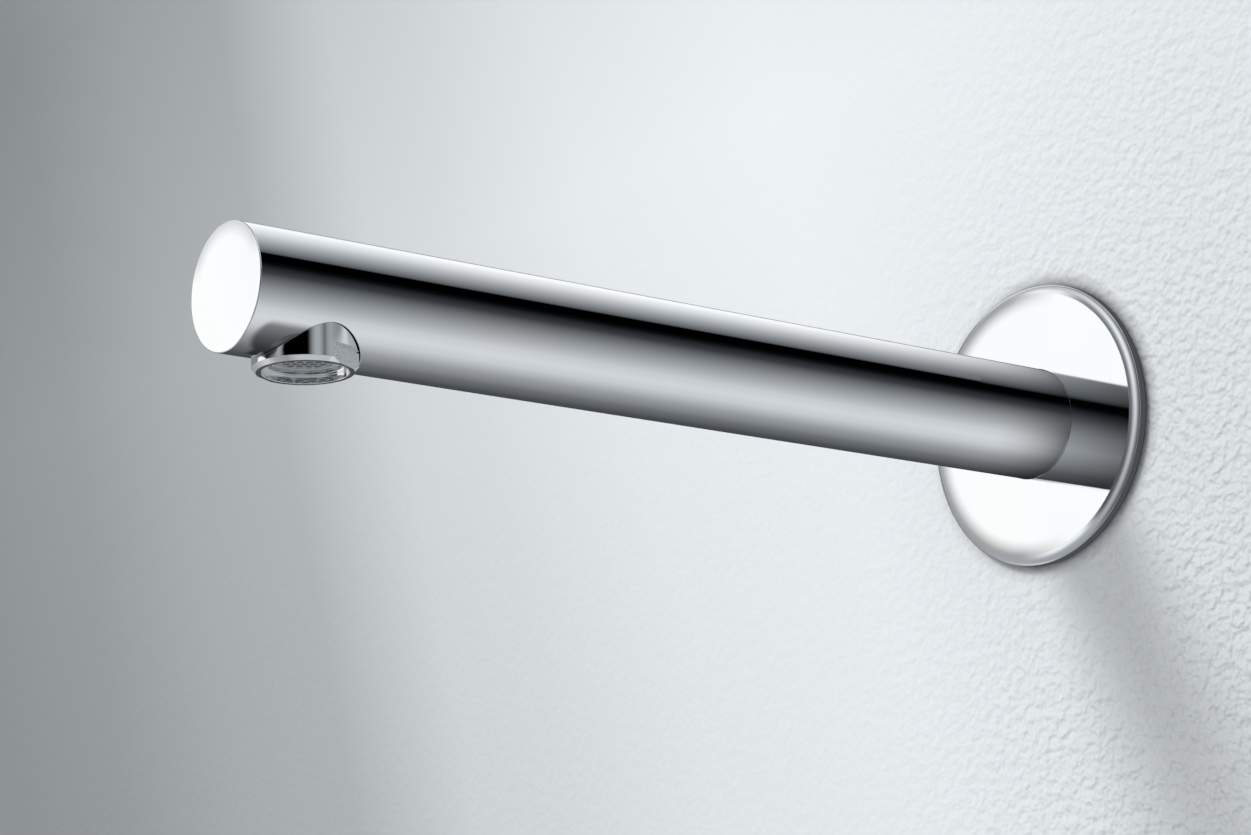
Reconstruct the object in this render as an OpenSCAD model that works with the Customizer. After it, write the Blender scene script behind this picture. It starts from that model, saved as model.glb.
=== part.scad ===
// Wall spout for a basin: a straight tube with a closed end, a round wall flange,
// a threaded wall nipple and a screw-in aerator.
// Origin: where the spout's axis crosses the finished wall. The wall is the XZ plane,
// the spout points along -Y, +Z is up and the water falls along -Z.
// Lengths along the spout are distances out from the wall; behind the wall they are negative.

/* [Spout tube] */
// Outside diameter of the tube
tube_d = 25; // [25:0.5:32]
// Wall of the tube
tube_wall = 1.5; // [1:0.25:1.5]
// From the wall to the closed end face
reach = 213; // [150:1:260]
// How far the tube runs back behind the wall's face
rear_run = 3; // [2:0.5:4]
// Gap that the solder fills round a soldered piece
solder_gap = 0.05; // [0.02:0.01:0.1]

/* [End cap] */
// Thickness of the closing disc
cap_t = 2; // [1.5:0.5:4]
// Length of the step that centres the disc in the tube
cap_step = 1; // [0.5:0.25:2]
// Bevel round the end face
cap_bevel = 0.25; // [0.1:0.05:0.6]

/* [Wall flange] */
// Outside diameter of the flange
flange_d = 64; // [58:1:80]
// Thickness from the wall to the flat face
flange_t = 3; // [2.8:0.1:5]
// Radius of the rounded edge
flange_edge_r = 2.8; // [2.4:0.1:3]
// Width of the rounded edge, seen square on
flange_edge_in = 2.3; // [1.5:0.1:2.3]
// Radial running clearance between flange and tube
flange_fit = 0.05; // [0.02:0.01:0.1]
// Thickness of the friction ring that holds the flange
flange_ring_d = 1.3; // [1:0.1:1.5]
// Width of the foam gasket in the back of the flange
gasket_w = 6; // [4:0.5:8]
// Thickness of the foam gasket
gasket_t = 1; // [0.8:0.1:1.2]
// Metal outside the gasket's recess
gasket_rim = 2; // [1.5:0.25:3]
// Gap all round between the gasket and its recess
gasket_gap = 0.2; // [0.1:0.05:0.3]

/* [Wall nipple] */
// Major diameter of the supply thread, G 1/2
supply_d = 20.955; // [16.662:0.001:26.441]
// Full-diameter length of the supply thread
supply_l = 11.5; // [8:0.5:16]
// Lead bevel at the thread's end
supply_bevel = 1; // [0.5:0.25:1.5]
// Depth of the relief behind the thread
relief = 1.2; // [0.8:0.1:1.6]
// Length of the relief in front of the thread
relief_l = 1.5; // [1:0.25:2]
// Thickness of the fibre washer on the supply fitting
supply_washer_t = 1.5; // [1:0.25:2.5]
// Radial width of the fibre washer
supply_washer_w = 2.9; // [2:0.1:4]
// Radial play of the fibre washer over the supply thread
supply_washer_play = 0.15; // [0.1:0.05:0.3]
// Thickness of the nipple's collar
collar_t = 4; // [3:0.5:6]
// Distance from the tube's rear end back to the collar
collar_gap = 2.5; // [2:0.5:4]
// Length of the spout thread, M20 x 1.5 at this tube size
spout_thread_l = 11.5; // [10:0.5:14]
// Length of the relief behind the spout thread
spout_relief_l = 1; // [0.75:0.25:1.5]
// Radial step from the spout thread down to the spigot
spigot_step = 2; // [1.75:0.25:2.5]
// Length of the spigot that carries the seal rings
spigot_l = 13.5; // [13:0.5:18]
// Bevel on the nose of the spigot
spigot_bevel = 0.8; // [0.4:0.1:1.2]
// Bore of the nipple
nipple_bore_d = 9; // [7:0.5:9.5]
// Hexagon for the key, across its flats
key_af = 10; // [10:0.5:10.5]
// Depth of the hexagon
key_l = 10; // [8:0.5:12]

/* [Nipple seals] */
// Thickness of the seat washer between nipple and socket
seat_washer_t = 1.5; // [1:0.25:2]
// Radial play of the seat washer
seat_washer_play = 0.12; // [0.08:0.02:0.2]
// Thickness of a spigot seal ring in its groove
seal_d = 1.4; // [1.2:0.1:1.5]
// Width of a seal groove
seal_groove_w = 2; // [1.8:0.1:2.4]
// From the seat washer's place to the middle of the first seal groove
seal_first = 4.5; // [4:0.25:5]
// Distance between the two seal grooves
seal_pitch = 4; // [3.5:0.25:5]
// Radial clearance round a sliding seal ring
seal_fit = 0.03; // [0.01:0.01:0.06]

/* [Rear socket] */
// Wall of the socket outside its thread
socket_wall = 0.9; // [0.8:0.05:1.4]
// Radial running clearance of the threads
thread_fit = 0.05; // [0.03:0.01:0.1]
// Socket length past the nose of the spigot
socket_over = 0.5; // [0.5:0.25:3]

/* [Outlet] */
// From the closed end face back to the outlet's axis
outlet_back = 17.3; // [16:0.1:30]
// Major diameter of the aerator thread, M18.5 x 1
aerator_d = 18.5; // [17.5:0.1:18.5]
// Length of the aerator thread
aerator_thread_l = 5; // [4:0.25:5.25]
// Height of the housing's seat below the spout's axis
seat_below = 5.6; // [5.5:0.1:6.5]
// Outlet body from the outlet's axis towards the wall
outlet_rear = 13.5; // [12.5:0.5:20]
// Diameter of the water bore in the outlet body
water_d = 8; // [6:0.5:8]
// Wall over the water bore
water_roof = 1.5; // [1:0.1:1.5]
// Diameter of the chamber over the aerator
chamber_d = 14; // [13:0.5:14.5]
// Thickness of the aerator's flat washer
aerator_washer_t = 1.5; // [1:0.25:1.5]
// Radial play of the aerator's washer
aerator_washer_play = 0.35; // [0.2:0.05:0.5]
// Radial width of the aerator's washer
aerator_washer_w = 1.9; // [1.4:0.1:2]

/* [Aerator housing] */
// Outside diameter of the housing's head
head_d = 20.2; // [20:0.1:20.6]
// Visible gap round the head
head_gap = 0.22; // [0.15:0.01:0.35]
// How far the head's side wall reaches below the tube
head_drop = 0.9; // [0.5:0.1:4]
// Height of the bevel under the head
head_bevel = 0.84; // [0.4:0.02:1.2]
// Width of the bevel under the head
head_bevel_in = 0.8; // [0.4:0.1:1]
// Play between the head and its seat
head_play = 0.1; // [0.05:0.05:0.2]
// Distance across the two wrench flats
head_af = 18; // [17.8:0.1:19]
// Height of the wrench flats above the bevel
flat_h = 2.85; // [2:0.05:4]
// Turn of the wrench flats from the spout's side, in degrees
flat_turn = 26.5; // [-90:0.5:90]
// Diameter of the mouth
mouth_d = 16.6; // [16:0.1:16.8]
// Depth of the mouth up to the lip
mouth_depth = 1.4; // [1:0.1:2]
// Width of the lip that holds the cartridge
lip_w = 0.65; // [0.5:0.05:0.9]
// Thickness of the lip
lip_t = 1; // [0.8:0.1:1.4]
// Bore of the housing
housing_bore_d = 15.5; // [15.3:0.1:15.7]

/* [Aerator cartridge] */
// Radial clearance round the cartridge
cartridge_gap = 0.05; // [0.03:0.01:0.1]
// Wall of the cartridge's sleeve
sleeve_wall = 1; // [0.8:0.05:1.2]
// Height of the air slots in the sleeve
air_slot_h = 1.6; // [1:0.1:2]
// Width of an air slot
air_slot_w = 2.4; // [1.5:0.1:3]
// Thickness of the honeycomb outlet
comb_t = 1.4; // [1:0.1:1.8]
// Distance between the honeycomb's cells
comb_pitch = 1.7; // [1.6:0.1:2.2]
// Wall between the honeycomb's cells
comb_wall = 0.35; // [0.3:0.05:0.5]
// Thickness of the wires of the mesh screens
wire_d = 0.25; // [0.2:0.05:0.3]
// Distance between the wires of the mesh screens
wire_pitch = 1.1; // [1:0.1:1.6]
// Height of a mesh screen's rim
screen_t = 0.5; // [0.5:0.05:0.7]
// Radial width of a mesh screen's rim
screen_rim = 0.6; // [0.4:0.1:0.8]
// Thickness of the jet plate
jet_t = 1; // [0.8:0.1:1.2]
// Diameter of the jets
jet_d = 0.9; // [0.7:0.05:1.2]
// Radius of the ring of jets
jet_ring_r = 5.2; // [4.6:0.1:5.4]
// Height of the space under the regulator that feeds the jets
plenum_h = 0.4; // [0.3:0.1:0.6]
// Height of the flow regulator's body
regulator_t = 2.2; // [2:0.1:2.4]
// Thickness of the regulator's rubber ring
regulator_ring_d = 1.2; // [1:0.1:1.3]
// Radius of the regulator's ring
regulator_ring_r = 4; // [3.8:0.1:4.2]
// Height of the dome screen over its rim
dome_h = 2.2; // [1.5:0.1:2.4]
// Wall of the dome screen
dome_wall = 0.5; // [0.4:0.05:0.7]
// Thickness of the dome screen's rim
dome_rim_t = 0.6; // [0.5:0.1:0.8]

/* [Hidden] */
$fn = 96;

// Overlap of a cutting solid past the face that it opens
cut = 0.5;

tube_r = tube_d / 2;
lumen_r = tube_r - tube_wall;
insert_r = lumen_r - solder_gap;
tube_end = reach - cap_t;

// Stations of the nipple, outwards along the spout's axis
spout_thread_r = insert_r - socket_wall - thread_fit;
spigot_r = spout_thread_r - spigot_step;
collar_front = -rear_run - collar_gap;
collar_rear = collar_front - collar_t;
fitting_face = collar_rear - supply_washer_t;
supply_front = fitting_face - relief_l;
supply_rear = supply_front - supply_l;
nipple_rear = supply_rear - supply_bevel;
thread_start = collar_front + spout_relief_l;
step_s = thread_start + spout_thread_l;
spigot_end = step_s + spigot_l;
supply_washer_in = supply_d / 2 + supply_washer_play;
collar_r = supply_washer_in + supply_washer_w;
seal_groove_r = spigot_r + thread_fit - seal_fit - seal_d;
seal_s = [step_s + seat_washer_t + seal_first, step_s + seat_washer_t + seal_first + seal_pitch];

// Heights of the outlet, upwards from the spout's axis
outlet_s = reach - outlet_back;
head_foot = -tube_r - head_drop;
mouth_z = head_foot - head_bevel;
seat_z = -seat_below;
housing_top = seat_z + aerator_thread_l;
ceiling_z = housing_top + aerator_washer_t;
water_z = insert_r - water_roof - water_d / 2;
lip_top = mouth_z + mouth_depth + lip_t;
washer_out = aerator_d / 2 - aerator_washer_play;

// Heights of the cartridge: screens stacked up from the housing's lip, and the rest stacked
// down from the washer, with the mixing space between them
cartridge_r = housing_bore_d / 2 - cartridge_gap;
core_r = cartridge_r - sleeve_wall - cartridge_gap;
comb_top = lip_top + comb_t;
lower_screen_top = comb_top + screen_t;
upper_screen_top = lower_screen_top + screen_t;
regulator_top = housing_top - dome_rim_t;
jet_top = regulator_top - regulator_t;
jet_z = jet_top - jet_t;
dome_r = core_r - dome_wall;

// A round bar on the spout's axis, between two distances out from the wall
module bar(r, from, to) {
    rotate([90, 0, 0])
        translate([0, 0, from])
            cylinder(r = r, h = to - from);
}

// A tapered bar on the spout's axis
module taper(r_from, r_to, from, to) {
    rotate([90, 0, 0])
        translate([0, 0, from])
            cylinder(r1 = r_from, r2 = r_to, h = to - from);
}

// A ring on the spout's axis
module ring(r_out, r_in, from, to) {
    difference() {
        bar(r_out, from, to);
        bar(r_in, from - cut, to + cut);
    }
}

// A rubber ring on the spout's axis, that just clears the radii r_in and r_out
module rubber_ring(r_in, r_out, at) {
    rotate([90, 0, 0])
        translate([0, 0, at])
            rotate_extrude()
                translate([(r_in + r_out) / 2, 0])
                    circle(r = (r_out - r_in) / 2, $fn = 48);
}

// A round post on the outlet's axis, between two heights
module post(r, from, to) {
    translate([0, -outlet_s, from])
        cylinder(r = r, h = to - from);
}

// A ring on the outlet's axis
module post_ring(r_out, r_in, from, to) {
    difference() {
        post(r_out, from, to);
        post(r_in, from - cut, to + cut);
    }
}

// The nipple that screws into the wall's fitting and carries the spout
module wall_nipple() {
    color("goldenrod")
    difference() {
        union() {
            taper(supply_d / 2 - supply_bevel, supply_d / 2, nipple_rear, supply_rear);
            bar(supply_d / 2, supply_rear, supply_front);
            bar(supply_d / 2 - relief, supply_front, collar_rear);
            bar(collar_r, collar_rear, collar_front);
            bar(spout_thread_r - relief / 2, collar_front, thread_start);
            bar(spout_thread_r, thread_start, step_s);
            bar(spigot_r, step_s, spigot_end - spigot_bevel);
            taper(spigot_r, spigot_r - spigot_bevel, spigot_end - spigot_bevel, spigot_end);
        }
        bar(nipple_bore_d / 2, nipple_rear - cut, spigot_end + cut);
        rotate([90, 0, 0])
            translate([0, 0, spigot_end - key_l])
                cylinder(r = key_af / sqrt(3), h = key_l + cut, $fn = 6);
        for (s = seal_s)
            ring(spigot_r + cut, seal_groove_r, s - seal_groove_w / 2, s + seal_groove_w / 2);
    }
}

// Fibre washer between the nipple's collar and the wall's fitting
module supply_washer() {
    color("firebrick")
    ring(collar_r, supply_washer_in, fitting_face, collar_rear);
}

// One of the two rubber rings in the grooves of the spigot
module nipple_seal(s) {
    color("dimgray")
    rubber_ring(seal_groove_r + seal_fit, spigot_r + thread_fit - seal_fit, s);
}

// Washer that the socket is tightened against
module seat_washer() {
    color("whitesmoke")
    ring(spout_thread_r - seat_washer_play, spigot_r + seat_washer_play, step_s, step_s + seat_washer_t);
}

// The spout's chromed brass tube, with a round hole for the aerator's head
module spout_tube() {
    color("silver")
    difference() {
        bar(tube_r, -rear_run, tube_end);
        bar(lumen_r, -rear_run - cut, tube_end + cut);
        post(head_d / 2 + head_gap, -tube_r - cut, 0);
    }
}

// Disc that closes the end of the tube
module end_cap() {
    color("silver")
    union() {
        bar(insert_r, tube_end - cap_step, tube_end);
        bar(tube_r, tube_end, reach - cap_bevel);
        taper(tube_r, tube_r - cap_bevel, reach - cap_bevel, reach);
    }
}

// Brass socket in the tube's rear end, threaded for the nipple
module rear_socket() {
    color("goldenrod")
    difference() {
        bar(insert_r, -rear_run, spigot_end + socket_over);
        bar(spout_thread_r + thread_fit, -rear_run - cut, step_s + seat_washer_t);
        bar(spigot_r + thread_fit, -rear_run - cut, spigot_end + socket_over + cut);
    }
}

// Brass body in the tube's front end, threaded for the aerator
module outlet_body() {
    color("goldenrod")
    difference() {
        bar(insert_r, outlet_s - outlet_rear, tube_end - cap_step);
        post(head_d / 2 + head_gap, -tube_r, seat_z);
        post(aerator_d / 2 + thread_fit, seat_z - cut, ceiling_z);
        post(chamber_d / 2, ceiling_z - cut, water_z + 1);
        translate([0, 0, water_z])
            bar(water_d / 2, outlet_s - outlet_rear - cut, outlet_s);
    }
}

// Outline of the flange in radius and thickness, with its rounded edge
module flange_outline() {
    intersection() {
        square([flange_d / 2, flange_t]);
        union() {
            square([flange_d / 2 - flange_edge_in, flange_t]);
            translate([flange_d / 2 - flange_edge_in, flange_t - flange_edge_r])
                circle(r = flange_edge_r);
        }
    }
}

// Round wall flange, free to slide on the tube
module wall_flange() {
    gasket_out = flange_d / 2 - gasket_rim;
    groove_r = tube_r + flange_fit + flange_ring_d;
    groove_w = flange_ring_d + 0.3;
    color("silver")
    difference() {
        rotate([90, 0, 0])
            rotate_extrude()
                flange_outline();
        bar(tube_r + flange_fit, -cut, flange_t + cut);
        bar(groove_r, flange_t / 2 - groove_w / 2, flange_t / 2 + groove_w / 2);
        ring(gasket_out, gasket_out - gasket_w, -cut, gasket_t);
    }
}

// Rubber ring in the flange that grips the tube
module flange_friction_ring() {
    color("dimgray")
    rubber_ring(tube_r + flange_fit / 2, tube_r + flange_fit / 2 + flange_ring_d, flange_t / 2);
}

// Foam ring that seals the flange to the wall
module flange_gasket() {
    gasket_out = flange_d / 2 - gasket_rim;
    color("gray")
    ring(gasket_out - gasket_gap, gasket_out - gasket_w + gasket_gap, 0, gasket_t);
}

// Flat rubber washer over the aerator
module aerator_washer() {
    color("dimgray")
    post_ring(washer_out, washer_out - aerator_washer_w, housing_top, ceiling_z);
}

// Screw-in housing of the aerator, with two wrench flats
module aerator_housing() {
    color("silver")
    difference() {
        union() {
            post(head_d / 2, head_foot, seat_z - head_play);
            translate([0, -outlet_s, mouth_z])
                cylinder(r1 = head_d / 2 - head_bevel_in, r2 = head_d / 2, h = head_bevel);
            post(aerator_d / 2, seat_z - cut, housing_top);
        }
        post(mouth_d / 2, mouth_z - cut, mouth_z + mouth_depth);
        post(housing_bore_d / 2 - lip_w, mouth_z - cut, lip_top + cut);
        post(housing_bore_d / 2, lip_top, housing_top + cut);
        for (side = [0, 180])
            translate([0, -outlet_s, 0])
                rotate([0, 0, flat_turn + side])
                    translate([head_af / 2, -head_d / 2, mouth_z - cut])
                        cube([head_d / 2, head_d, head_bevel + flat_h + cut]);
    }
}

// Plastic sleeve of the cartridge, with air slots over the honeycomb
module cartridge_sleeve() {
    color("white")
    difference() {
        post(cartridge_r, lip_top, regulator_top);
        post(cartridge_r - sleeve_wall, lip_top - cut, regulator_top + cut);
        for (turn = [0 : 60 : 300])
            translate([0, -outlet_s, upper_screen_top + 0.2])
                rotate([0, 0, turn])
                    translate([core_r - cut, -air_slot_w / 2, 0])
                        cube([sleeve_wall + 2 * cut, air_slot_w, air_slot_h]);
    }
}

// Honeycomb that straightens the water
module honeycomb_outlet() {
    cell_r = (comb_pitch - comb_wall) / sqrt(3);
    rows = floor((core_r - comb_wall) / comb_pitch) + 1;
    color("whitesmoke")
    difference() {
        post(core_r, lip_top, comb_top);
        for (row = [-rows : rows])
            for (col = [-2 * rows : 2 * rows]) {
                x = comb_pitch * (col + row / 2);
                y = comb_pitch * row * sqrt(3) / 2;
                if (norm([x, y]) + cell_r < core_r - comb_wall)
                    translate([x, y - outlet_s, lip_top - cut])
                        rotate([0, 0, 30])
                            cylinder(r = cell_r, h = comb_t + 2 * cut, $fn = 6);
            }
    }
}

// A stainless mesh: two layers of crossing wires in a rim
module mesh_screen(top) {
    half = floor((core_r - screen_rim) / wire_pitch);
    color("lightgray")
    union() {
        post_ring(core_r, core_r - screen_rim, top - screen_t, top);
        intersection() {
            post(core_r - screen_rim / 2, top - screen_t, top);
            union()
                for (i = [-half : half]) {
                    translate([i * wire_pitch - wire_d / 2, -outlet_s - core_r, top - screen_t])
                        cube([wire_d, 2 * core_r, wire_d]);
                    translate([-core_r, i * wire_pitch - wire_d / 2 - outlet_s, top - screen_t + wire_d])
                        cube([2 * core_r, wire_d, wire_d]);
                }
        }
    }
}

// Plate with a ring of fine jets
module jet_plate() {
    color("white")
    difference() {
        post(core_r, jet_z, jet_top);
        for (turn = [0 : 24 : 336])
            translate([0, -outlet_s, 0])
                rotate([0, 0, turn])
                    translate([jet_ring_r, 0, jet_z - cut])
                        cylinder(d = jet_d, h = jet_t + 2 * cut, $fn = 24);
    }
}

// Body of the flow regulator, with the rubber ring's groove and the passages under it
module flow_regulator() {
    ring_in = regulator_ring_r - regulator_ring_d / 2;
    ring_out = regulator_ring_r + regulator_ring_d / 2;
    color("mediumseagreen")
    difference() {
        post(core_r, jet_top, regulator_top);
        post_ring(core_r - screen_rim, ring_in, jet_top - cut, jet_top + plenum_h);
        post_ring(ring_out + 0.4, ring_in - 0.1, regulator_top - regulator_ring_d, regulator_top + cut);
        for (turn = [0 : 45 : 315])
            translate([0, -outlet_s, 0])
                rotate([0, 0, turn])
                    translate([ring_out, 0, jet_top - cut])
                        cylinder(d = jet_d, h = regulator_t, $fn = 24);
    }
}

// Rubber ring that narrows the regulator's passages as the pressure rises
module regulator_ring() {
    color("dimgray")
    translate([0, -outlet_s, regulator_top - regulator_ring_d / 2])
        rotate_extrude()
            translate([regulator_ring_r, 0])
                circle(r = regulator_ring_d / 2 - 0.02, $fn = 48);
}

// Slotted dome that keeps grit out of the cartridge
module dome_screen() {
    slot_w = 0.5;
    dome_top = regulator_top + dome_rim_t + dome_h;
    color("white")
    difference() {
        union() {
            post(cartridge_r, regulator_top, regulator_top + dome_rim_t);
            post(dome_r, regulator_top, dome_top);
        }
        post(dome_r - dome_wall, regulator_top - cut, dome_top - dome_wall);
        for (turn = [0 : 15 : 165])
            translate([0, -outlet_s, regulator_top + dome_rim_t + 0.3])
                rotate([0, 0, turn])
                    translate([-core_r, -slot_w / 2, 0])
                        cube([2 * core_r, slot_w, dome_h - dome_wall - 0.6]);
    }
}

wall_nipple();
supply_washer();
nipple_seal(seal_s[0]);  // nipple_seal_rear
nipple_seal(seal_s[1]);  // nipple_seal_front
seat_washer();
spout_tube();
end_cap();
rear_socket();
outlet_body();
wall_flange();
flange_friction_ring();
flange_gasket();
aerator_washer();
aerator_housing();
cartridge_sleeve();
honeycomb_outlet();
mesh_screen(lower_screen_top);  // lower_mesh_screen
mesh_screen(upper_screen_top);  // upper_mesh_screen
jet_plate();
flow_regulator();
regulator_ring();
dome_screen();
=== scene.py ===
"""A wall-mounted basin spout in polished chrome plate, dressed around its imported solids."""
import logging
import math
from dataclasses import dataclass, field
from enum import Enum

import bpy
import numpy as np
from mathutils import Matrix, Vector


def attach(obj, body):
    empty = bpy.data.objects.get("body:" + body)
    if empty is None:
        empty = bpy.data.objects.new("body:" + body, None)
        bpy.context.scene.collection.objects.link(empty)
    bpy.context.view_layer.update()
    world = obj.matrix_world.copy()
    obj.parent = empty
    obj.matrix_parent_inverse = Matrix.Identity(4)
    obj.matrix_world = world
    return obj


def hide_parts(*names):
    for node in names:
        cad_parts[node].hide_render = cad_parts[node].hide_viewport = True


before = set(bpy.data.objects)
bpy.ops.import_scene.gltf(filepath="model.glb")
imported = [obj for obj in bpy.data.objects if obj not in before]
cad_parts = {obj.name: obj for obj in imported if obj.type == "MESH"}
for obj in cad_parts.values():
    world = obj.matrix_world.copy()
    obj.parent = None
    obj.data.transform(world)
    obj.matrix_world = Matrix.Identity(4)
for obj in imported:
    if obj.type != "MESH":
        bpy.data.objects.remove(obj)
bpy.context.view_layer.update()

log = logging.getLogger("spout")

Tree, Node, Socket = bpy.types.NodeTree, bpy.types.Node, bpy.types.NodeSocket
Material, Thing = bpy.types.Material, bpy.types.Object
Colour = tuple[float, float, float, float]
Marks = tuple[tuple[float, float], ...]
Numbers = np.ndarray | float
# A flat ring: its inner and outer radius, where it begins and ends, and the easing of its edges.
Ring = tuple[float, float, float, float, float]

# Shared sizes, in millimetres: where the outlet's axis and the tip's face are along the spout, and the radii
# of the tube and of the outlet's collar.
MM = 0.001
OUTLET_S = 195.7
REACH = 213.0
TUBE = 12.5
COLLAR = 10.1
# Where the cover plate's flat face turns into its rounded edge, and the radius of that edge.
FACE_END = 29.8
EDGE_ROUND = 2.6
# Fractions of a turn at which turned parts are drawn, for large parts and for small ones.
TURNS = np.linspace(0.0, 1.0, 193)
FINE_TURNS = np.linspace(0.0, 1.0, 97)
# How many points each eased corner is drawn with, and how close, in metres, two points are one.
EASE_POINTS = 7
WELD = 1e-6


class Axis(Enum):
    """The line that a turned part is turned about."""

    SPOUT = "out from the wall, along -Y"
    OUTLET = "straight down through the outlet, along Z"


def linear(code: str) -> Colour:
    """Turns a written colour into the linear values that the shaders take.

    Args:
        code: an sRGB colour as six hex digits.

    Returns:
        Red, green, blue and an alpha of one.
    """
    parts = [int(code[i:i + 2], 16) / 255 for i in (0, 2, 4)]
    return (*[c / 12.92 if c <= 0.04045 else ((c + 0.055) / 1.055) ** 2.4 for c in parts], 1.0)


def grey(level: float) -> Colour:
    """A grey with a breath of blue, as a shader colour: black and white themselves stay neutral.

    Args:
        level: the grey as an sRGB value from 0 to 255.

    Returns:
        The linear colour.
    """
    cool = 3.2 * min(1.0, (255 - level) / 40, level / 20)
    return linear("".join(f"{round(v):02x}" for v in (level - cool, level, level + cool)))


def add(tree: Tree, kind: str, links: dict | None = None, values: dict | None = None,
        **settings: object) -> Node:
    """Adds a node with its settings, its values and what feeds it.

    Args:
        tree: the node tree.
        kind: the node's type, such as ShaderNodeMath.
        links: input name or number to the output socket that feeds it.
        values: input name or number to its value.
        settings: the node's own properties.

    Returns:
        The new node.
    """
    made = tree.nodes.new(kind)
    for name, value in settings.items():
        setattr(made, name, value)
    for socket, value in (values or {}).items():
        made.inputs[socket].default_value = value
    for socket, source in (links or {}).items():
        tree.links.new(source, made.inputs[socket])
    return made


def stops(tree: Tree, place: Socket, marks: list[tuple[float, Colour]]) -> Socket:
    """Colours that run into each other along a ramp.

    Args:
        tree: the node tree.
        place: where along the ramp, from 0 to 1.
        marks: each stop's place and its colour, in order.

    Returns:
        The colour.
    """
    made = add(tree, "ShaderNodeValToRGB", {"Fac": place})
    ramp = made.color_ramp.elements
    ramp[0].position, ramp[0].color = marks[0]
    ramp[1].position, ramp[1].color = marks[-1]
    for at, colour in marks[1:-1]:
        ramp.new(at).color = colour
    return made.outputs["Color"]


def material(name: str, bare: bool = False) -> tuple[Material, Tree]:
    """A new material and its nodes.

    Args:
        name: the material's name.
        bare: whether the usual shader and output are cleared away.

    Returns:
        The material and its node tree.
    """
    made = bpy.data.materials.new(name)
    made.use_nodes = True
    if bare:
        made.node_tree.nodes.clear()
    return made, made.node_tree


def stand(name: str, data: bpy.types.ID) -> Thing:
    """Puts data into the scene as an object at the origin."""
    made = bpy.data.objects.new(name, data)
    bpy.context.scene.collection.objects.link(made)
    return made


def soft_step(value: np.ndarray, start: Numbers, end: Numbers) -> np.ndarray:
    """A smooth step from nought at the start to one at the end, which may come before the start."""
    share = np.clip((value - start) / (end - start), 0, 1)
    return share * share * (3 - 2 * share)


def cells(n: int, m: int) -> np.ndarray:
    """The four corner numbers of each cell of a grid of n by m points."""
    ids = np.arange(n * m).reshape(n, m)
    return np.stack([ids[:-1, :-1], ids[1:, :-1], ids[1:, 1:], ids[:-1, 1:]], axis=-1).reshape(-1, 4)


@dataclass(frozen=True)
class Bench:
    """What a finish works on: a material's nodes, its shader, and object coordinates in metres."""

    tree: Tree
    shader: Node
    place: Socket

    def noise(self, grain: float, place: Socket | None = None, **values: float) -> Socket:
        """Noise whose lumps are about grain millimetres across.

        Args:
            grain: the size of a lump in millimetres.
            place: the coordinates it reads, where they aren't the plain ones.
            values: other input values of the noise, by name.

        Returns:
            The noise as a number from 0 to 1.
        """
        named = {name.title(): value for name, value in values.items()}
        return add(self.tree, "ShaderNodeTexNoise", {"Vector": place or self.place},
                   {"Scale": 1 / (grain * MM), **named}).outputs["Fac"]

    def tint(self, pattern: Socket, *colours: str | Colour) -> None:
        """Spreads colours evenly over the middle of a pattern, as the base colour.

        Args:
            pattern: the pattern, from 0 to 1.
            colours: hex codes or linear colours, from the pattern's low end to its high end.
        """
        places = np.linspace(0.3, 0.7, len(colours))
        marks = [(float(p), linear(c) if isinstance(c, str) else c) for p, c in zip(places, colours)]
        self.tree.links.new(stops(self.tree, pattern, marks), self.shader.inputs["Base Color"])

    def rough(self, pattern: Socket, low: float, high: float) -> None:
        """Lets the middle of a pattern drive the roughness.

        Args:
            pattern: the pattern, from 0 to 1.
            low: the roughness at its low end.
            high: the roughness at its high end.
        """
        values = {"From Min": 0.3, "From Max": 0.7, "To Min": low, "To Max": high}
        spread = add(self.tree, "ShaderNodeMapRange", {"Value": pattern}, values)
        self.tree.links.new(spread.outputs["Result"], self.shader.inputs["Roughness"])

    def relief(self, height: Socket, depth: float) -> None:
        """Puts a pattern on the surface as fine relief, as deep as the depth in millimetres."""
        bump = add(self.tree, "ShaderNodeBump", {"Height": height}, {"Distance": depth * MM, "Strength": 1.0})
        self.tree.links.new(bump.outputs["Normal"], self.shader.inputs["Normal"])


@dataclass(frozen=True)
class Finish:
    """What every finish has: a name, a base colour, and how metallic and how rough it is."""

    name: str
    colour: str
    metallic: float = 0.0
    roughness: float = 0.5

    def material(self) -> Material:
        """The material, made once and then shared.

        Returns:
            The material.
        """
        known = bpy.data.materials.get(self.name)
        if known:
            return known
        made, tree = material(self.name)
        shader = tree.nodes["Principled BSDF"]
        shader.inputs["Base Color"].default_value = linear(self.colour)
        shader.inputs["Metallic"].default_value = self.metallic
        shader.inputs["Roughness"].default_value = self.roughness
        self.dress(Bench(tree, shader, add(tree, "ShaderNodeTexCoord").outputs["Object"]))
        return made

    def dress(self, on: Bench) -> None:
        """Adds the pattern that the real surface shows."""


class PolishedChrome(Finish):
    """Bright chrome over nickel on buffed brass: a mirror with a breath of polishing haze in slow patches."""

    def dress(self, on: Bench) -> None:
        """Haze that changes over some 9 mm, and a colour that drifts by a shade from blue to warm."""
        on.rough(on.noise(9.0, detail=3.0), 0.75 * self.roughness, 1.25 * self.roughness)
        on.tint(on.noise(40.0, detail=1.0), "E4E7EA", self.colour, "E8E9E9")


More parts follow.
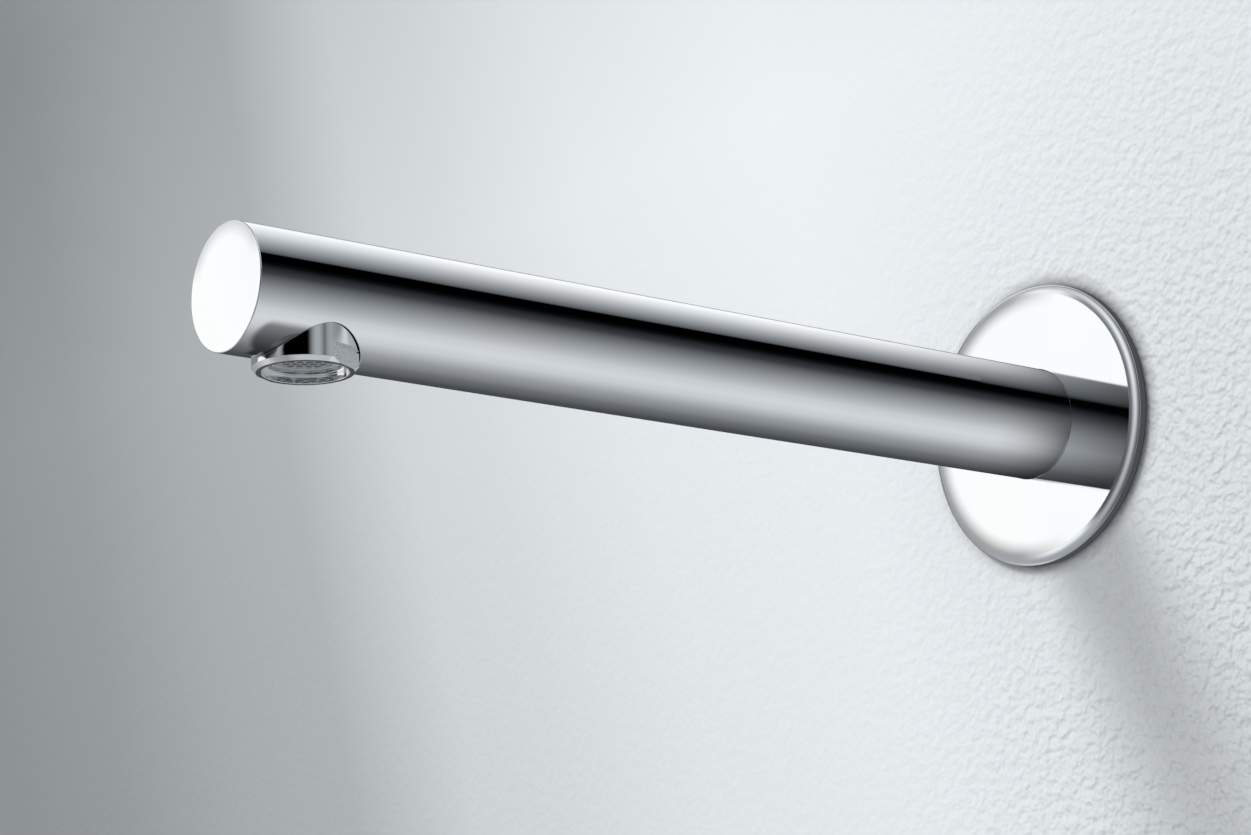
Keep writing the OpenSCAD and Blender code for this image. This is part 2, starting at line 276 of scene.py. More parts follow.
class MilledChrome(Finish):
    """Chrome over a milled brass flat: the cutter's fine parallel passes still show through the plate."""

    def dress(self, on: Bench) -> None:
        """Streaks 0.12 mm apart, drawn at 0.22 mm so that they show, running down and across the flat.

        Args:
            on: the material that is dressed.
        """
        turned_to = add(on.tree, "ShaderNodeMapping", {"Vector": on.place},
                        {"Rotation": (0.0, math.radians(62), math.radians(-63.5)), "Scale": (1.0, 0.06, 1.0)})
        streaks = on.noise(0.22, turned_to.outputs["Vector"], detail=2.0)
        on.rough(streaks, 0.10, 0.26)
        on.tint(streaks, "C9CDD0", self.colour, "ECEDEE")
        on.relief(streaks, 0.012)


class TurnedBrass(Finish):
    """Free-cutting brass straight from the lathe: fine rings about the spout's axis, and slow tarnish."""

    def dress(self, on: Bench) -> None:
        """Rings by the sum of the distance along the axis and the distance from it, drawn 0.25 mm apart.

        Args:
            on: the material that is dressed.
        """
        parts = add(on.tree, "ShaderNodeSeparateXYZ", {"Vector": on.place}).outputs
        flat = add(on.tree, "ShaderNodeCombineXYZ", {"X": parts["X"], "Y": parts["Z"]})
        away = add(on.tree, "ShaderNodeVectorMath", {0: flat.outputs["Vector"]}, operation="LENGTH")
        feed = add(on.tree, "ShaderNodeMath", {0: away.outputs["Value"], 1: parts["Y"]}, operation="ADD")
        line = add(on.tree, "ShaderNodeCombineXYZ", {"X": feed.outputs["Value"]})
        rings = on.noise(0.25, line.outputs["Vector"], detail=2.0)
        on.tint(on.noise(6.0, detail=4.0), "B98F45", self.colour, "DDBD78")
        on.rough(rings, 0.18, 0.36)
        on.relief(rings, 0.01)


class MouldedRubber(Finish):
    """Cured black rubber from a ground mould: satin, with a fine even grain and a dusting of talc."""

    def dress(self, on: Bench) -> None:
        """Grain of 0.15 mm, and talc in patches of 2 mm.

        Args:
            on: the material that is dressed.
        """
        talc = on.noise(2.0, detail=5.0)
        on.tint(talc, self.colour, "232425", "3A3B3C")
        on.rough(talc, 0.42, 0.68)
        on.relief(on.noise(0.15, detail=2.0), 0.01)


class ClosedCellFoam(Finish):
    """Die-cut closed-cell foam: matt and full of burst cells about a third of a millimetre across."""

    def dress(self, on: Bench) -> None:
        """Cells as a Voronoi pattern of 0.35 mm, hollow at their middles, which painted shade darkens.

        Args:
            on: the material that is dressed.
        """
        depth = add(on.tree, "ShaderNodeTexVoronoi", {"Vector": on.place},
                    {"Scale": 1 / (0.35 * MM), "Randomness": 0.9}).outputs["Distance"]
        on.tint(depth, "17181A", self.colour, "3D3F42")
        on.relief(depth, 0.09)


class PressedFibre(Finish):
    """Vulcanised fibre sheet: dark red, dense, with the paper's flecks still in it."""

    def dress(self, on: Bench) -> None:
        """Flecks 0.4 mm wide and drawn out along X.

        Args:
            on: the material that is dressed.
        """
        drawn = add(on.tree, "ShaderNodeMapping", {"Vector": on.place}, {"Scale": (0.25, 1.0, 1.0)})
        flecks = on.noise(0.4, drawn.outputs["Vector"], detail=4.0, distortion=0.6)
        on.tint(flecks, "6B1F17", self.colour, "A5483A")
        on.rough(flecks, 0.38, 0.6)
        on.relief(flecks, 0.015)


class TurnedWax(Finish):
    """Turned PTFE: waxy white, slightly translucent, with the faint spiral of the parting tool."""

    def dress(self, on: Bench) -> None:
        """Soft cloudiness of 3 mm and tool marks of 0.2 mm.

        Args:
            on: the material that is dressed.
        """
        on.shader.inputs["Subsurface Weight"].default_value = 0.15
        on.shader.inputs["Subsurface Radius"].default_value = (0.001, 0.001, 0.001)
        on.tint(on.noise(3.0, detail=3.0), "E2E1DA", self.colour, "F5F4F0")
        on.relief(on.noise(0.2, detail=1.0), 0.006)


class MouldedAcetal(Finish):
    """Injection-moulded acetal: semi-gloss, with a spark-eroded grain and faint flow clouds."""

    def dress(self, on: Bench) -> None:
        """Grain of 0.12 mm, and flow clouds of 4 mm that shift the shade by a few parts in a hundred.

        Args:
            on: the material that is dressed.
        """
        base = linear(self.colour)[:3]
        on.tint(on.noise(4.0, detail=2.0), (*[c * 0.9 for c in base], 1.0),
                (*[min(1.0, c * 1.05) for c in base], 1.0))
        grain = on.noise(0.12, detail=2.0)
        on.rough(grain, self.roughness - 0.06, self.roughness + 0.08)
        on.relief(grain, 0.004)


class DrawnWire(Finish):
    """Drawn stainless wire, woven and rolled flat: bright, with die lines along it."""

    def dress(self, on: Bench) -> None:
        """Die lines of 0.08 mm and a slow change of shade over 2 mm."""
        on.tint(on.noise(2.0, detail=2.0), "A9ABAB", self.colour, "CFD1D1")
        on.rough(on.noise(0.08, detail=1.0), 0.2, 0.38)


CHROME = PolishedChrome("polished_chrome_plate", "E6E8EA", 1.0, 0.03)
EDGE = PolishedChrome("wheel_buffed_chrome_edge", "E6E8EA", 1.0, 0.14)
MILLED = MilledChrome("milled_chrome_plate", "DDE0E2", 1.0, 0.18)
BRASS = TurnedBrass("turned_brass", "CDA75C", 1.0, 0.26)
RUBBER = MouldedRubber("moulded_epdm", "18191A", 0.0, 0.55)
FOAM = ClosedCellFoam("closed_cell_foam", "2A2B2D", 0.0, 0.92)
FIBRE = PressedFibre("vulcanised_fibre", "8A2E22", 0.0, 0.5)
PTFE = TurnedWax("turned_ptfe", "EEEDE8", 0.0, 0.42)
ACETAL = MouldedAcetal("moulded_acetal_white", "E9E8E2", 0.0, 0.34)
COMB = MouldedAcetal("moulded_acetal_grey", "A4A8AB", 0.0, 0.3)
GREEN = MouldedAcetal("moulded_acetal_green", "2F8F5B", 0.0, 0.32)
WIRE = DrawnWire("drawn_stainless_wire", "BCBFBF", 1.0, 0.3)


@dataclass
class Patch:
    """One smooth stretch of a surface: a grid of points, which way it faces at each, and its finish."""

    points: np.ndarray
    facing: np.ndarray
    finish: int = 0


@dataclass(frozen=True)
class Thread:
    """A screw thread cut on a line of an outline that lies at the thread's root.

    Attributes:
        crest: radius at the crests.
        pitch: millimetres from crest to crest.
        depth: millimetres from root to crest.
        flat: width of the flats at root and crest, as a share of the pitch.
    """

    crest: float
    pitch: float
    depth: float
    flat: float = 0.1

    @property
    def root(self) -> float:
        """Radius at the root."""
        return self.crest - self.depth

    def height(self, along: np.ndarray, turn: np.ndarray, start: float, end: float) -> np.ndarray:
        """Height over the root: a rounded ridge across each pitch that climbs one pitch a turn.

        The thread's ends run out at 45 degrees.

        Args:
            along: distance along the axis in millimetres.
            turn: fraction of a turn round it.
            start: where the thread starts along the axis.
            end: where it ends.

        Returns:
            The height in millimetres.
        """
        phase = np.mod((along - start) / self.pitch - turn, 1.0)
        wave = np.clip((np.abs(2 * phase - 1) - self.flat) / (1 - 2 * self.flat), 0.0, 1.0)
        ridge = self.depth * wave * wave * (3 - 2 * wave)
        return np.clip(np.minimum(ridge, np.minimum(along - start, end - along)), 0.0, None)


@dataclass(frozen=True)
class Corner:
    """A corner of a turned part's outline, in millimetres.

    Attributes:
        radius: distance from the axis.
        along: distance along the axis.
        rounding: radius of the arc that eases the corner.
        thread: the thread on the line that leaves this corner.
        finish: number of the finish of the line that leaves this corner.
    """

    radius: float
    along: float
    rounding: float = 0.0
    thread: Thread | None = None
    finish: int = 0


@dataclass
class Stroke:
    """One smooth stretch of an outline: its places, which way it faces, and the corner that it leaves."""

    places: np.ndarray
    facing: np.ndarray
    corner: Corner


def strokes(corners: list[Corner]) -> list[Stroke]:
    """Breaks a closed outline into straight lines, and arcs that touch both lines at each eased corner.

    Args:
        corners: the outline's corners in order, either way round.

    Returns:
        The lines and arcs in order, each with the direction that points out of the metal.
    """
    spots = np.array([(c.radius, c.along) for c in corners])
    after = np.roll(spots, -1, axis=0)
    area = float(np.sum(spots[:, 0] * after[:, 1] - after[:, 0] * spots[:, 1]))
    side = 1.0 if area > 0 else -1.0
    ways = (after - spots) / np.linalg.norm(after - spots, axis=1)[:, None]
    outs = side * np.c_[ways[:, 1], -ways[:, 0]]
    bends = [math.atan2(u[0] * v[1] - u[1] * v[0], u @ v) for u, v in zip(np.roll(ways, 1, axis=0), ways)]
    reach = [c.rounding * math.tan(abs(b) / 2) for c, b in zip(corners, bends)]
    made = []
    for i, corner in enumerate(corners):
        j = (i + 1) % len(corners)
        if corner.rounding > 0:
            angles = np.linspace(0.0, bends[i], EASE_POINTS)[:, None]
            first = outs[i - 1]
            facing = np.cos(angles) * first + np.sin(angles) * np.array([-first[1], first[0]])
            outward = 1.0 if bends[i] * side > 0 else -1.0
            start = spots[i] - ways[i - 1] * reach[i]
            centre = start - outward * first * corner.rounding
            made.append(Stroke(centre + outward * facing * corner.rounding, facing, corner))
        start, end = spots[i] + ways[i] * reach[i], spots[j] - ways[i] * reach[j]
        if np.linalg.norm(end - start) > 1e-6 and max(start[0], end[0]) > 1e-9:
            made.append(Stroke(np.array([start, end]), np.array([outs[i], outs[i]]), corner))
    return made


def placed(axis: Axis, radius: Numbers, along: Numbers, turn: Numbers) -> np.ndarray:
    """Points in the part's frame: radius by the turn's cosine and sine across the axis, and along on it.

    Args:
        axis: the line turned about.
        radius: distance from it in millimetres.
        along: distance along it, outwards for the spout's axis and upwards for the outlet's.
        turn: fraction of a turn.

    Returns:
        The points in metres.
    """
    radius, along, turn = np.broadcast_arrays(radius, along, turn)
    c, s = radius * np.cos(2 * np.pi * turn), radius * np.sin(2 * np.pi * turn)
    if axis is Axis.SPOUT:
        return np.stack([c, -along, s], axis=-1) * MM
    return np.stack([c, s - OUTLET_S, along], axis=-1) * MM


def pointing(axis: Axis, out: Numbers, up: Numbers, turn: Numbers, side: Numbers = 0.0) -> np.ndarray:
    """Directions in the part's frame from their parts away from the axis, along it and round it.

    Args:
        axis: the line turned about.
        out: the part away from the axis.
        up: the part along it.
        turn: fraction of a turn.
        side: the part round it.

    Returns:
        Unit directions.
    """
    out, up, turn, side = np.broadcast_arrays(out, up, turn, side)
    c, s = np.cos(2 * np.pi * turn), np.sin(2 * np.pi * turn)
    x, y = out * c - side * s, out * s + side * c
    found = np.stack([x, -up, y] if axis is Axis.SPOUT else [x, y, up], axis=-1)
    return found / np.linalg.norm(found, axis=-1, keepdims=True)


def revolve(stroke: Stroke, axis: Axis, turns: np.ndarray) -> Patch:
    """Carries a stroke of an outline round the axis.

    Args:
        stroke: the stroke.
        axis: the line turned about.
        turns: the fractions of a turn where it is drawn, as a row, or one row for each place.

    Returns:
        The surface.
    """
    turn = np.atleast_2d(turns)
    facing = pointing(axis, stroke.facing[:, :1], stroke.facing[:, 1:], turn)
    return Patch(placed(axis, stroke.places[:, :1], stroke.places[:, 1:], turn), facing, stroke.corner.finish)


def threaded(stroke: Stroke, axis: Axis, turns: np.ndarray) -> Patch:
    """Cuts a thread on a straight stroke: its rows climb one pitch a turn, so that each follows the ridge.

    Args:
        stroke: the line at the thread's root.
        axis: the line turned about.
        turns: the fractions of a turn where it is drawn.

    Returns:
        The surface.
    """
    thread = stroke.corner.thread
    low, high = sorted(stroke.places[:, 1])
    root, rows = stroke.places[0, 0], 14
    count = math.ceil((high - low) / thread.pitch) + 1
    step = np.arange(count * rows + 1)[:, None] / rows - 1
    turn = turns[None, :]
    along = np.clip(low + thread.pitch * (step + turn), low, high)
    radius = root + thread.height(along, turn, low, high)
    nudge = 1e-4
    slopes = []
    for climb, swing in ((nudge, 0.0), (0.0, nudge)):
        after = thread.height(along + climb, turn + swing, low, high)
        before = thread.height(along - climb, turn - swing, low, high)
        slopes.append((after - before) / nudge / 2)
    facing = pointing(axis, 1.0, -slopes[0], turn, -slopes[1] / (2 * np.pi * radius))
    return Patch(placed(axis, radius, along, turn), facing, stroke.corner.finish)


def carried(stroke: Stroke, axis: Axis, turns: np.ndarray) -> Patch:
    """Carries a stroke round the axis, and cuts its thread where it is a line that has one."""
    cut = stroke.corner.thread and len(stroke.places) == 2
    return (threaded if cut else revolve)(stroke, axis, turns)


def turned(corners: list[Corner], axis: Axis = Axis.SPOUT, turns: np.ndarray = TURNS) -> list[Patch]:
    """The whole surface of a turned part from its closed outline."""
    return [carried(stroke, axis, turns) for stroke in strokes(corners)]


def ring(inner: float, outer: float, start: float, end: float, rounding: float) -> list[Corner]:
    """The outline of a flat ring with eased edges, or of a round one where the easing is half its side."""
    return [Corner(*at, rounding) for at in ((inner, start), (outer, start), (outer, end), (inner, end))]


@dataclass
class Workshop:
    """Turns patches into pieces of the model."""

    count: int = 0

    def join(self, name: str, patches: list[Patch], finishes: tuple[Finish, ...]) -> Thing:
        """Joins patches into one closed mesh: shared edges are welded, and corners keep their directions.

        Args:
            name: the piece's name.
            patches: its patches.
            finishes: the finishes that the patches number.

        Returns:
            The object, at the origin.
        """
        quads, points, facing, finish, base = [], [], [], [], 0
        for patch in patches:
            quad = cells(*patch.points.shape[:2])
            p, f = patch.points.reshape(-1, 3), patch.facing.reshape(-1, 3)
            across = np.cross(p[quad[:, 2]] - p[quad[:, 0]], p[quad[:, 3]] - p[quad[:, 1]])
            away = np.einsum("ij,ij->i", across, f[quad].sum(axis=1)) < 0
            quad[away] = quad[away][:, ::-1]
            quads.append(quad + base)
            points.append(p)
            facing.append(f)
            finish.append(np.full(len(quad), patch.finish))
            base += len(p)
        quads, points, facing, finish = (np.concatenate(part) for part in (quads, points, facing, finish))
        _, first, weld = np.unique(np.round(points / WELD).astype(np.int64), axis=0, return_index=True,
                                   return_inverse=True)
        welded = weld.reshape(-1)[quads]
        kept = welded != np.roll(welded, 1, axis=1)
        sides = kept.sum(axis=1)
        whole = (sides >= 3) & (welded[:, 0] != welded[:, 2]) & (welded[:, 1] != welded[:, 3])
        kept, sides, finish = kept[whole], sides[whole], finish[whole]
        corners, directions = welded[whole][kept], facing[quads[whole][kept]]
        mesh = bpy.data.meshes.new(name)
        mesh.vertices.add(len(first))
        mesh.vertices.foreach_set("co", points[first].ravel())
        mesh.loops.add(len(corners))
        mesh.loops.foreach_set("vertex_index", corners)
        mesh.polygons.add(len(sides))
        mesh.polygons.foreach_set("loop_start", np.r_[0, np.cumsum(sides)[:-1]])
        mesh.polygons.foreach_set("material_index", finish)
        mesh.update(calc_edges=True)
        if mesh.validate():
            log.warning("%s had faces that were put right", name)
        mesh.polygons.foreach_set("use_smooth", np.ones(len(mesh.polygons), dtype=bool))
        if len(mesh.loops) == len(directions):
            mesh.normals_split_custom_set(directions.astype(np.float32))
        for one in finishes:
            mesh.materials.append(one.material())
        return stand(name, mesh)

    def piece(self, name: str, patches: list[Patch], body: str, slot: str, node: str,
              *finishes: Finish) -> None:
        """Makes a piece that stands for a CAD node.

        Args:
            name: the piece's name.
            patches: its patches.
            body: the body it rides on.
            slot: the record's material slot; not used.
            node: the CAD node it stands for.
            finishes: the finishes that the patches number.
        """
        made = self.join(name, patches, finishes)
        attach(made, body)
        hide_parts(node)
        self.count += 1
        log.info("%s on %s: %d faces", name, body, len(made.data.polygons))

    def dress(self, node: str, finish: Finish) -> None:
        """Gives a CAD node that stays its finish.

        Args:
            node: the node's name.
            finish: the finish for all of its slots.
        """
        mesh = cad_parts[node].data
        if not mesh.materials:
            mesh.materials.append(finish.material())
        for i in range(len(mesh.materials)):
            mesh.materials[i] = finish.material()
        self.count += 1
        log.info("%s keeps its solid, finished as %s", node, finish.name)


@dataclass
class WallFixing:
    """The threaded nipple that screws into the supply, its washer and its two seals.

    Attributes:
        nose: how far out from the wall the nipple ends.
        nose_face: radius of the flat at its nose.
        rear: where its far end is behind the wall, as a negative distance.
        bore: radius of the waterway.
        key: width across the flats of the hexagon socket in its nose.
        key_depth: how deep that socket is.
        collar: radius of the collar that the supply washer lies against.
        collar_ends: where the collar begins and ends.
        undercut: radius of the groove between the supply thread and the collar.
        undercut_start: where the supply thread stops and that groove begins.
        run_out: radius of the millimetre in front of the collar, before the spout's thread.
        shoulder: where the spout's thread ends and the spigot begins.
        spigot: radius of the spigot.
        groove: radius at the bottom of the seals' grooves.
        grooves: where each groove begins.
        groove_width: how wide each is.
        seal: inner and outer radius of the seals.
        washer: the supply washer's ring.
        supply: the pipe thread on its rear.
        spout: the metric thread that the spout screws onto.
    """

    nose: float = 20.5
    nose_face: float = 7.2
    rear: float = -25.0
    bore: float = 4.5
    key: float = 10.0
    key_depth: float = 10.0
    collar: float = 13.53
    collar_ends: tuple[float, float] = (-9.5, -5.5)
    undercut: float = 9.28
    undercut_start: float = -12.5
    run_out: float = 9.4
    shoulder: float = 7.0
    spigot: float = 8.0
    groove: float = 6.62
    grooves: tuple[float, float] = (12.0, 16.0)
    groove_width: float = 2.0
    seal: tuple[float, float] = (6.65, 8.02)
    washer: Ring = (10.63, 13.53, -11.0, -9.5, 0.15)
    supply: Thread = Thread(10.4775, 1.814, 1.162)
    spout: Thread = Thread(10.0, 1.5, 0.92)

    def hexagon(self) -> list[Patch]:
        """The six walls of the key socket, its floor and the face round its mouth.

        A wall's radius is half the width across flats over the cosine of the angle from the wall's middle.

        Returns:
            The patches.
        """
        half, deep = self.key / 2, self.nose - self.key_depth
        twice = np.r_[TURNS, 1 + TURNS[1:]]
        step = (len(TURNS) - 1) // 6
        walls = []
        for k in range(6):
            turn, middle = twice[None, step // 2 + step * k:][:, :step + 1], (k + 1) / 6
            rows = np.array([[self.nose], [deep]])
            points = placed(Axis.SPOUT, half / np.cos((turn - middle) * 2 * np.pi), rows, turn)
            walls.append(Patch(points, pointing(Axis.SPOUT, -1.0 + 0 * rows, 0.0, middle + 0 * turn)))
        share, off = np.array([[0.0], [1.0]]), np.mod(TURNS * 6 + 0.5, 1.0) - 0.5
        corner = half / np.cos(off * np.pi / 3)
        for inner, outer, along in ((self.bore, corner, deep), (corner, self.nose_face, self.nose)):
            radius = inner + (outer - inner) * share
            walls.append(Patch(placed(Axis.SPOUT, radius, along, TURNS),
                               pointing(Axis.SPOUT, 0.0, 1.0 + 0 * radius, TURNS)))
        return walls

    def nipple(self) -> list[Patch]:
        """The nipple's outline from its rear face forward over the outside, then back down the waterway.

        Returns:
            The patches, with the hexagon's.
        """
        supply, spout, (back, front) = self.supply, self.spout, self.collar_ends
        outside = [
            Corner(self.bore, self.rear, 0.3), Corner(9.0, self.rear), Corner(supply.root, self.rear + 0.32),
            Corner(supply.root, self.rear + 0.33, thread=supply), Corner(supply.root, self.undercut_start),
            Corner(self.undercut, self.undercut_start), Corner(self.undercut, back, 0.2),
            Corner(self.collar, back, 0.3), Corner(self.collar, front, 0.3),
            Corner(self.run_out, front, 0.2), Corner(self.run_out, front + 1),
            Corner(spout.root, front + 1, thread=spout), Corner(spout.root, self.shoulder),
            Corner(self.spigot, self.shoulder),
        ]
        for start in self.grooves:
            end = start + self.groove_width
            outside += [Corner(self.spigot, start, 0.12), Corner(self.groove, start, 0.2),
                        Corner(self.groove, end, 0.2), Corner(self.spigot, end, 0.12)]
        outside += [Corner(self.spigot, self.nose - 0.8, 0.2), Corner(self.nose_face, self.nose),
                    Corner(self.bore, self.nose)]
        made = []
        for stroke in strokes(outside):
            start = stroke.corner
            if start.radius == self.nose_face:
                continue
            if start.radius == self.bore and start.along == self.nose:
                stroke.places = stroke.places.clip(max=[99.0, self.nose - self.key_depth])
            made.append(carried(stroke, Axis.SPOUT, TURNS))
        return made + self.hexagon()

    def build(self, shop: Workshop) -> None:
        """Makes the nipple, washer and seals.

        Args:
            shop: where pieces are made.
        """
        shop.piece("nipple", self.nipple(), "wall_fixing", "brass", "wall_nipple", BRASS)
        shop.piece("supply_sealing_washer", turned(ring(*self.washer)), "wall_fixing", "fibre",
                   "supply_washer", FIBRE)
        half = (self.seal[1] - self.seal[0]) / 2
        for place, node in zip(self.grooves, ("nipple_seal_rear", "nipple_seal_front")):
            middle = place + self.groove_width / 2
            seal = turned(ring(*self.seal, middle - half, middle + half, half), turns=FINE_TURNS)
            shop.piece(f"{node}_ring", seal, "wall_fixing", "seal_rubber", node, RUBBER)


@dataclass
class SeatWasher:
    """The slippery washer that the spout tightens against.

    Attributes:
        washer: its ring.
    """

    washer: Ring = (8.12, 9.88, 7.0, 8.5, 0.12)

    def build(self, shop: Workshop) -> None:
        """Makes the washer."""
        shop.piece("seat_slip_washer", turned(ring(*self.washer), turns=FINE_TURNS), "seat_washer", "ptfe",
                   "seat_washer", PTFE)


@dataclass
class Spout:
    """The straight tube, its flat end cap, and the two brass bodies soldered into it.

    Attributes:
        lumen: inner radius of the tube.
        rear: where the tube starts behind the wall's face.
        end: where the tube meets the cap.
        hole: radius of the hole that the aerator's collar fills.
        hole_edge: radius of the polished edge round that hole.
        edge: radius of the cap's polished edge.
        plug: how far the cap's step goes into the tube.
        fit: radius of what is soldered into the tube.
        steps: how many steps there are round the tube.
        patch_steps: half the width of the patch round the hole, in steps round the tube.
        patch_long: half that patch's length along the tube.
    """

    lumen: float = 11.0
    rear: float = -3.0
    end: float = 211.0
    hole: float = 10.32
    hole_edge: float = 0.16
    edge: float = 0.22
    plug: float = 1.0
    fit: float = 10.95
    steps: int = 192
    patch_steps: int = 40
    patch_long: float = 13.2

    def __post_init__(self) -> None:
        """Works out the patch round the hole.

        It is a rectangle in angle and distance from the hole's middle, and around is the direction of each
        of its points.
        """
        half, rows = self.patch_steps / self.steps * 2 * np.pi, 24
        across = np.linspace(-half, half, 2 * self.patch_steps + 1)
        self.down = np.linspace(-self.patch_long, self.patch_long, rows + 1)
        self.angle = np.r_[across, np.full(rows, half), across[::-1][1:], np.full(rows, -half)]
        self.along = np.r_[np.full(len(across), -self.patch_long), self.down[1:],
                           np.full(len(across) - 1, self.patch_long), self.down[::-1][1:]]
        self.around = np.arctan2(self.along / self.patch_long, self.angle / half)
        self.whole = np.linspace(-np.pi, np.pi, self.steps + 1)
        left, right = self.whole[self.whole <= -half + 1e-9], self.whole[self.whole >= half - 1e-9]
        self.side = np.r_[right, left[1:] + 2 * np.pi]

    def wrap(self, radius: Numbers, angle: Numbers, along: Numbers) -> np.ndarray:
        """Points on a cylinder: x by the sine of the angle from the lowest line, z by minus its cosine."""
        radius, angle, along = np.broadcast_arrays(radius, angle, along)
        return np.stack([radius * np.sin(angle), -along, -radius * np.cos(angle)], axis=-1) * MM

    def shell(self, radius: float, angle: np.ndarray, along: np.ndarray, out: float) -> Patch:
        """A stretch of a cylinder, which faces straight out from the axis or straight in."""
        angle, along = np.broadcast_arrays(angle, along)
        facing = out * np.stack([np.sin(angle), 0 * angle, -np.cos(angle)], axis=-1)
        return Patch(self.wrap(radius, angle, along), facing)

    def cylinder(self, radius: float, out: float, hole: float) -> list[Patch]:
        """A cylinder with a round hole cut up through its lowest line.

        Round the hole, rays run from the hole's edge, where the sine of the angle is the hole's x over the
        radius, to the patch's rectangle; grids of the same steps fill the rest.

        Args:
            radius: the cylinder's radius.
            out: 1 for an outer surface, -1 for an inner one.
            hole: the hole's radius on this surface.

        Returns:
            The patches.
        """
        near_angle = np.arcsin(hole * np.cos(self.around) / radius)
        near_along = hole * np.sin(self.around)
        ease = np.linspace(0.0, 1.0, 13)[:, None] ** 1.5
        ring_along = OUTLET_S + near_along + (self.along - near_along) * ease
        made = [self.shell(radius, near_angle + (self.angle - near_angle) * ease, ring_along, out)]
        for angles, places in (
            (self.whole, np.linspace(self.rear, OUTLET_S - self.patch_long, 9)),
            (self.side, OUTLET_S + self.down),
            (self.whole, np.array([OUTLET_S + self.patch_long, self.end])),
        ):
            made.append(self.shell(radius, angles[None, :], places[:, None], out))
        return made

    def hole_wall(self) -> list[Patch]:
        """The polished edge of the hole, a quarter round, and the straight wall up through the tube.

        A point's height is minus the root of the square of its depth's radius less the square of x.

        Returns:
            The two patches.
        """
        around, edge = self.around[None, :], self.hole_edge
        beta = np.linspace(0.0, np.pi / 2, EASE_POINTS)[:, None]
        made = []
        for rho, depth, tilt in (
            (self.hole + edge * (1 - np.sin(beta)), TUBE - edge * (1 - np.cos(beta)), beta),
            (self.hole, np.linspace(TUBE - edge, self.lumen, 4)[:, None], np.array([[np.pi / 2]])),
        ):
            x = rho * np.cos(around) + 0 * depth
            z = -np.sqrt(depth ** 2 - x ** 2)
            surface = np.stack([x / depth, 0 * x, z / depth], axis=-1)
            inward = np.stack([-np.cos(around) + 0 * x, np.sin(around) + 0 * x, 0 * x], axis=-1)
            facing = np.cos(tilt)[..., None] * surface + np.sin(tilt)[..., None] * inward
            facing /= np.linalg.norm(facing, axis=-1, keepdims=True)
            y = 0 * x - OUTLET_S - rho * np.sin(around)
            made.append(Patch(np.stack([x, y, z], axis=-1) * MM, facing))
        return made

    def tube(self) -> list[Patch]:
        """The tube: outer and inner walls, the hole between them and the two cut ends.

        Returns:
            The patches.
        """
        made = self.cylinder(TUBE, 1.0, self.hole + self.hole_edge)
        span = np.array([[self.lumen], [TUBE]])
        for place, way in ((self.rear, 1.0), (self.end, -1.0)):
            points = self.wrap(span, self.whole, place)
            made.append(Patch(points, np.broadcast_to([0.0, way, 0.0], points.shape)))
        return made + self.cylinder(self.lumen, -1.0, self.hole) + self.hole_wall()

    def cap(self) -> list[Patch]:
        """The cap: a short step inside the tube, and a disc flush with it, edge broken by the buff."""
        return turned([
            Corner(0.0, self.end - self.plug), Corner(self.fit, self.end - self.plug, 0.1),
            Corner(self.fit, self.end), Corner(TUBE, self.end), Corner(TUBE, REACH, self.edge),
            Corner(0.0, REACH),
        ])

    def socket(self) -> list[Patch]:
        """The brass socket in the tube's rear: a thread's bore, then the smooth bore that the seals run in.

        Returns:
            The patches.
        """
        bore, run, step, front = 10.05, 8.05, 8.5, 21.0
        return turned([
            Corner(bore, self.rear, 0.15), Corner(self.fit, self.rear, 0.1), Corner(self.fit, front, 0.1),
            Corner(run, front, 0.3), Corner(run, step, 0.2), Corner(bore, step),
        ])

    def build(self, shop: Workshop) -> None:
        """Makes the tube, cap and socket, and finishes the outlet body.

        Args:
            shop: where pieces are made.
        """
        shop.piece("tube", self.tube(), "spout", "chrome_tube", "spout_tube", CHROME)
        shop.piece("tip_cap", self.cap(), "spout", "chrome_tube", "end_cap", CHROME)
        shop.piece("threaded_socket", self.socket(), "spout", "brass", "rear_socket", BRASS)
        shop.dress("outlet_body", BRASS)


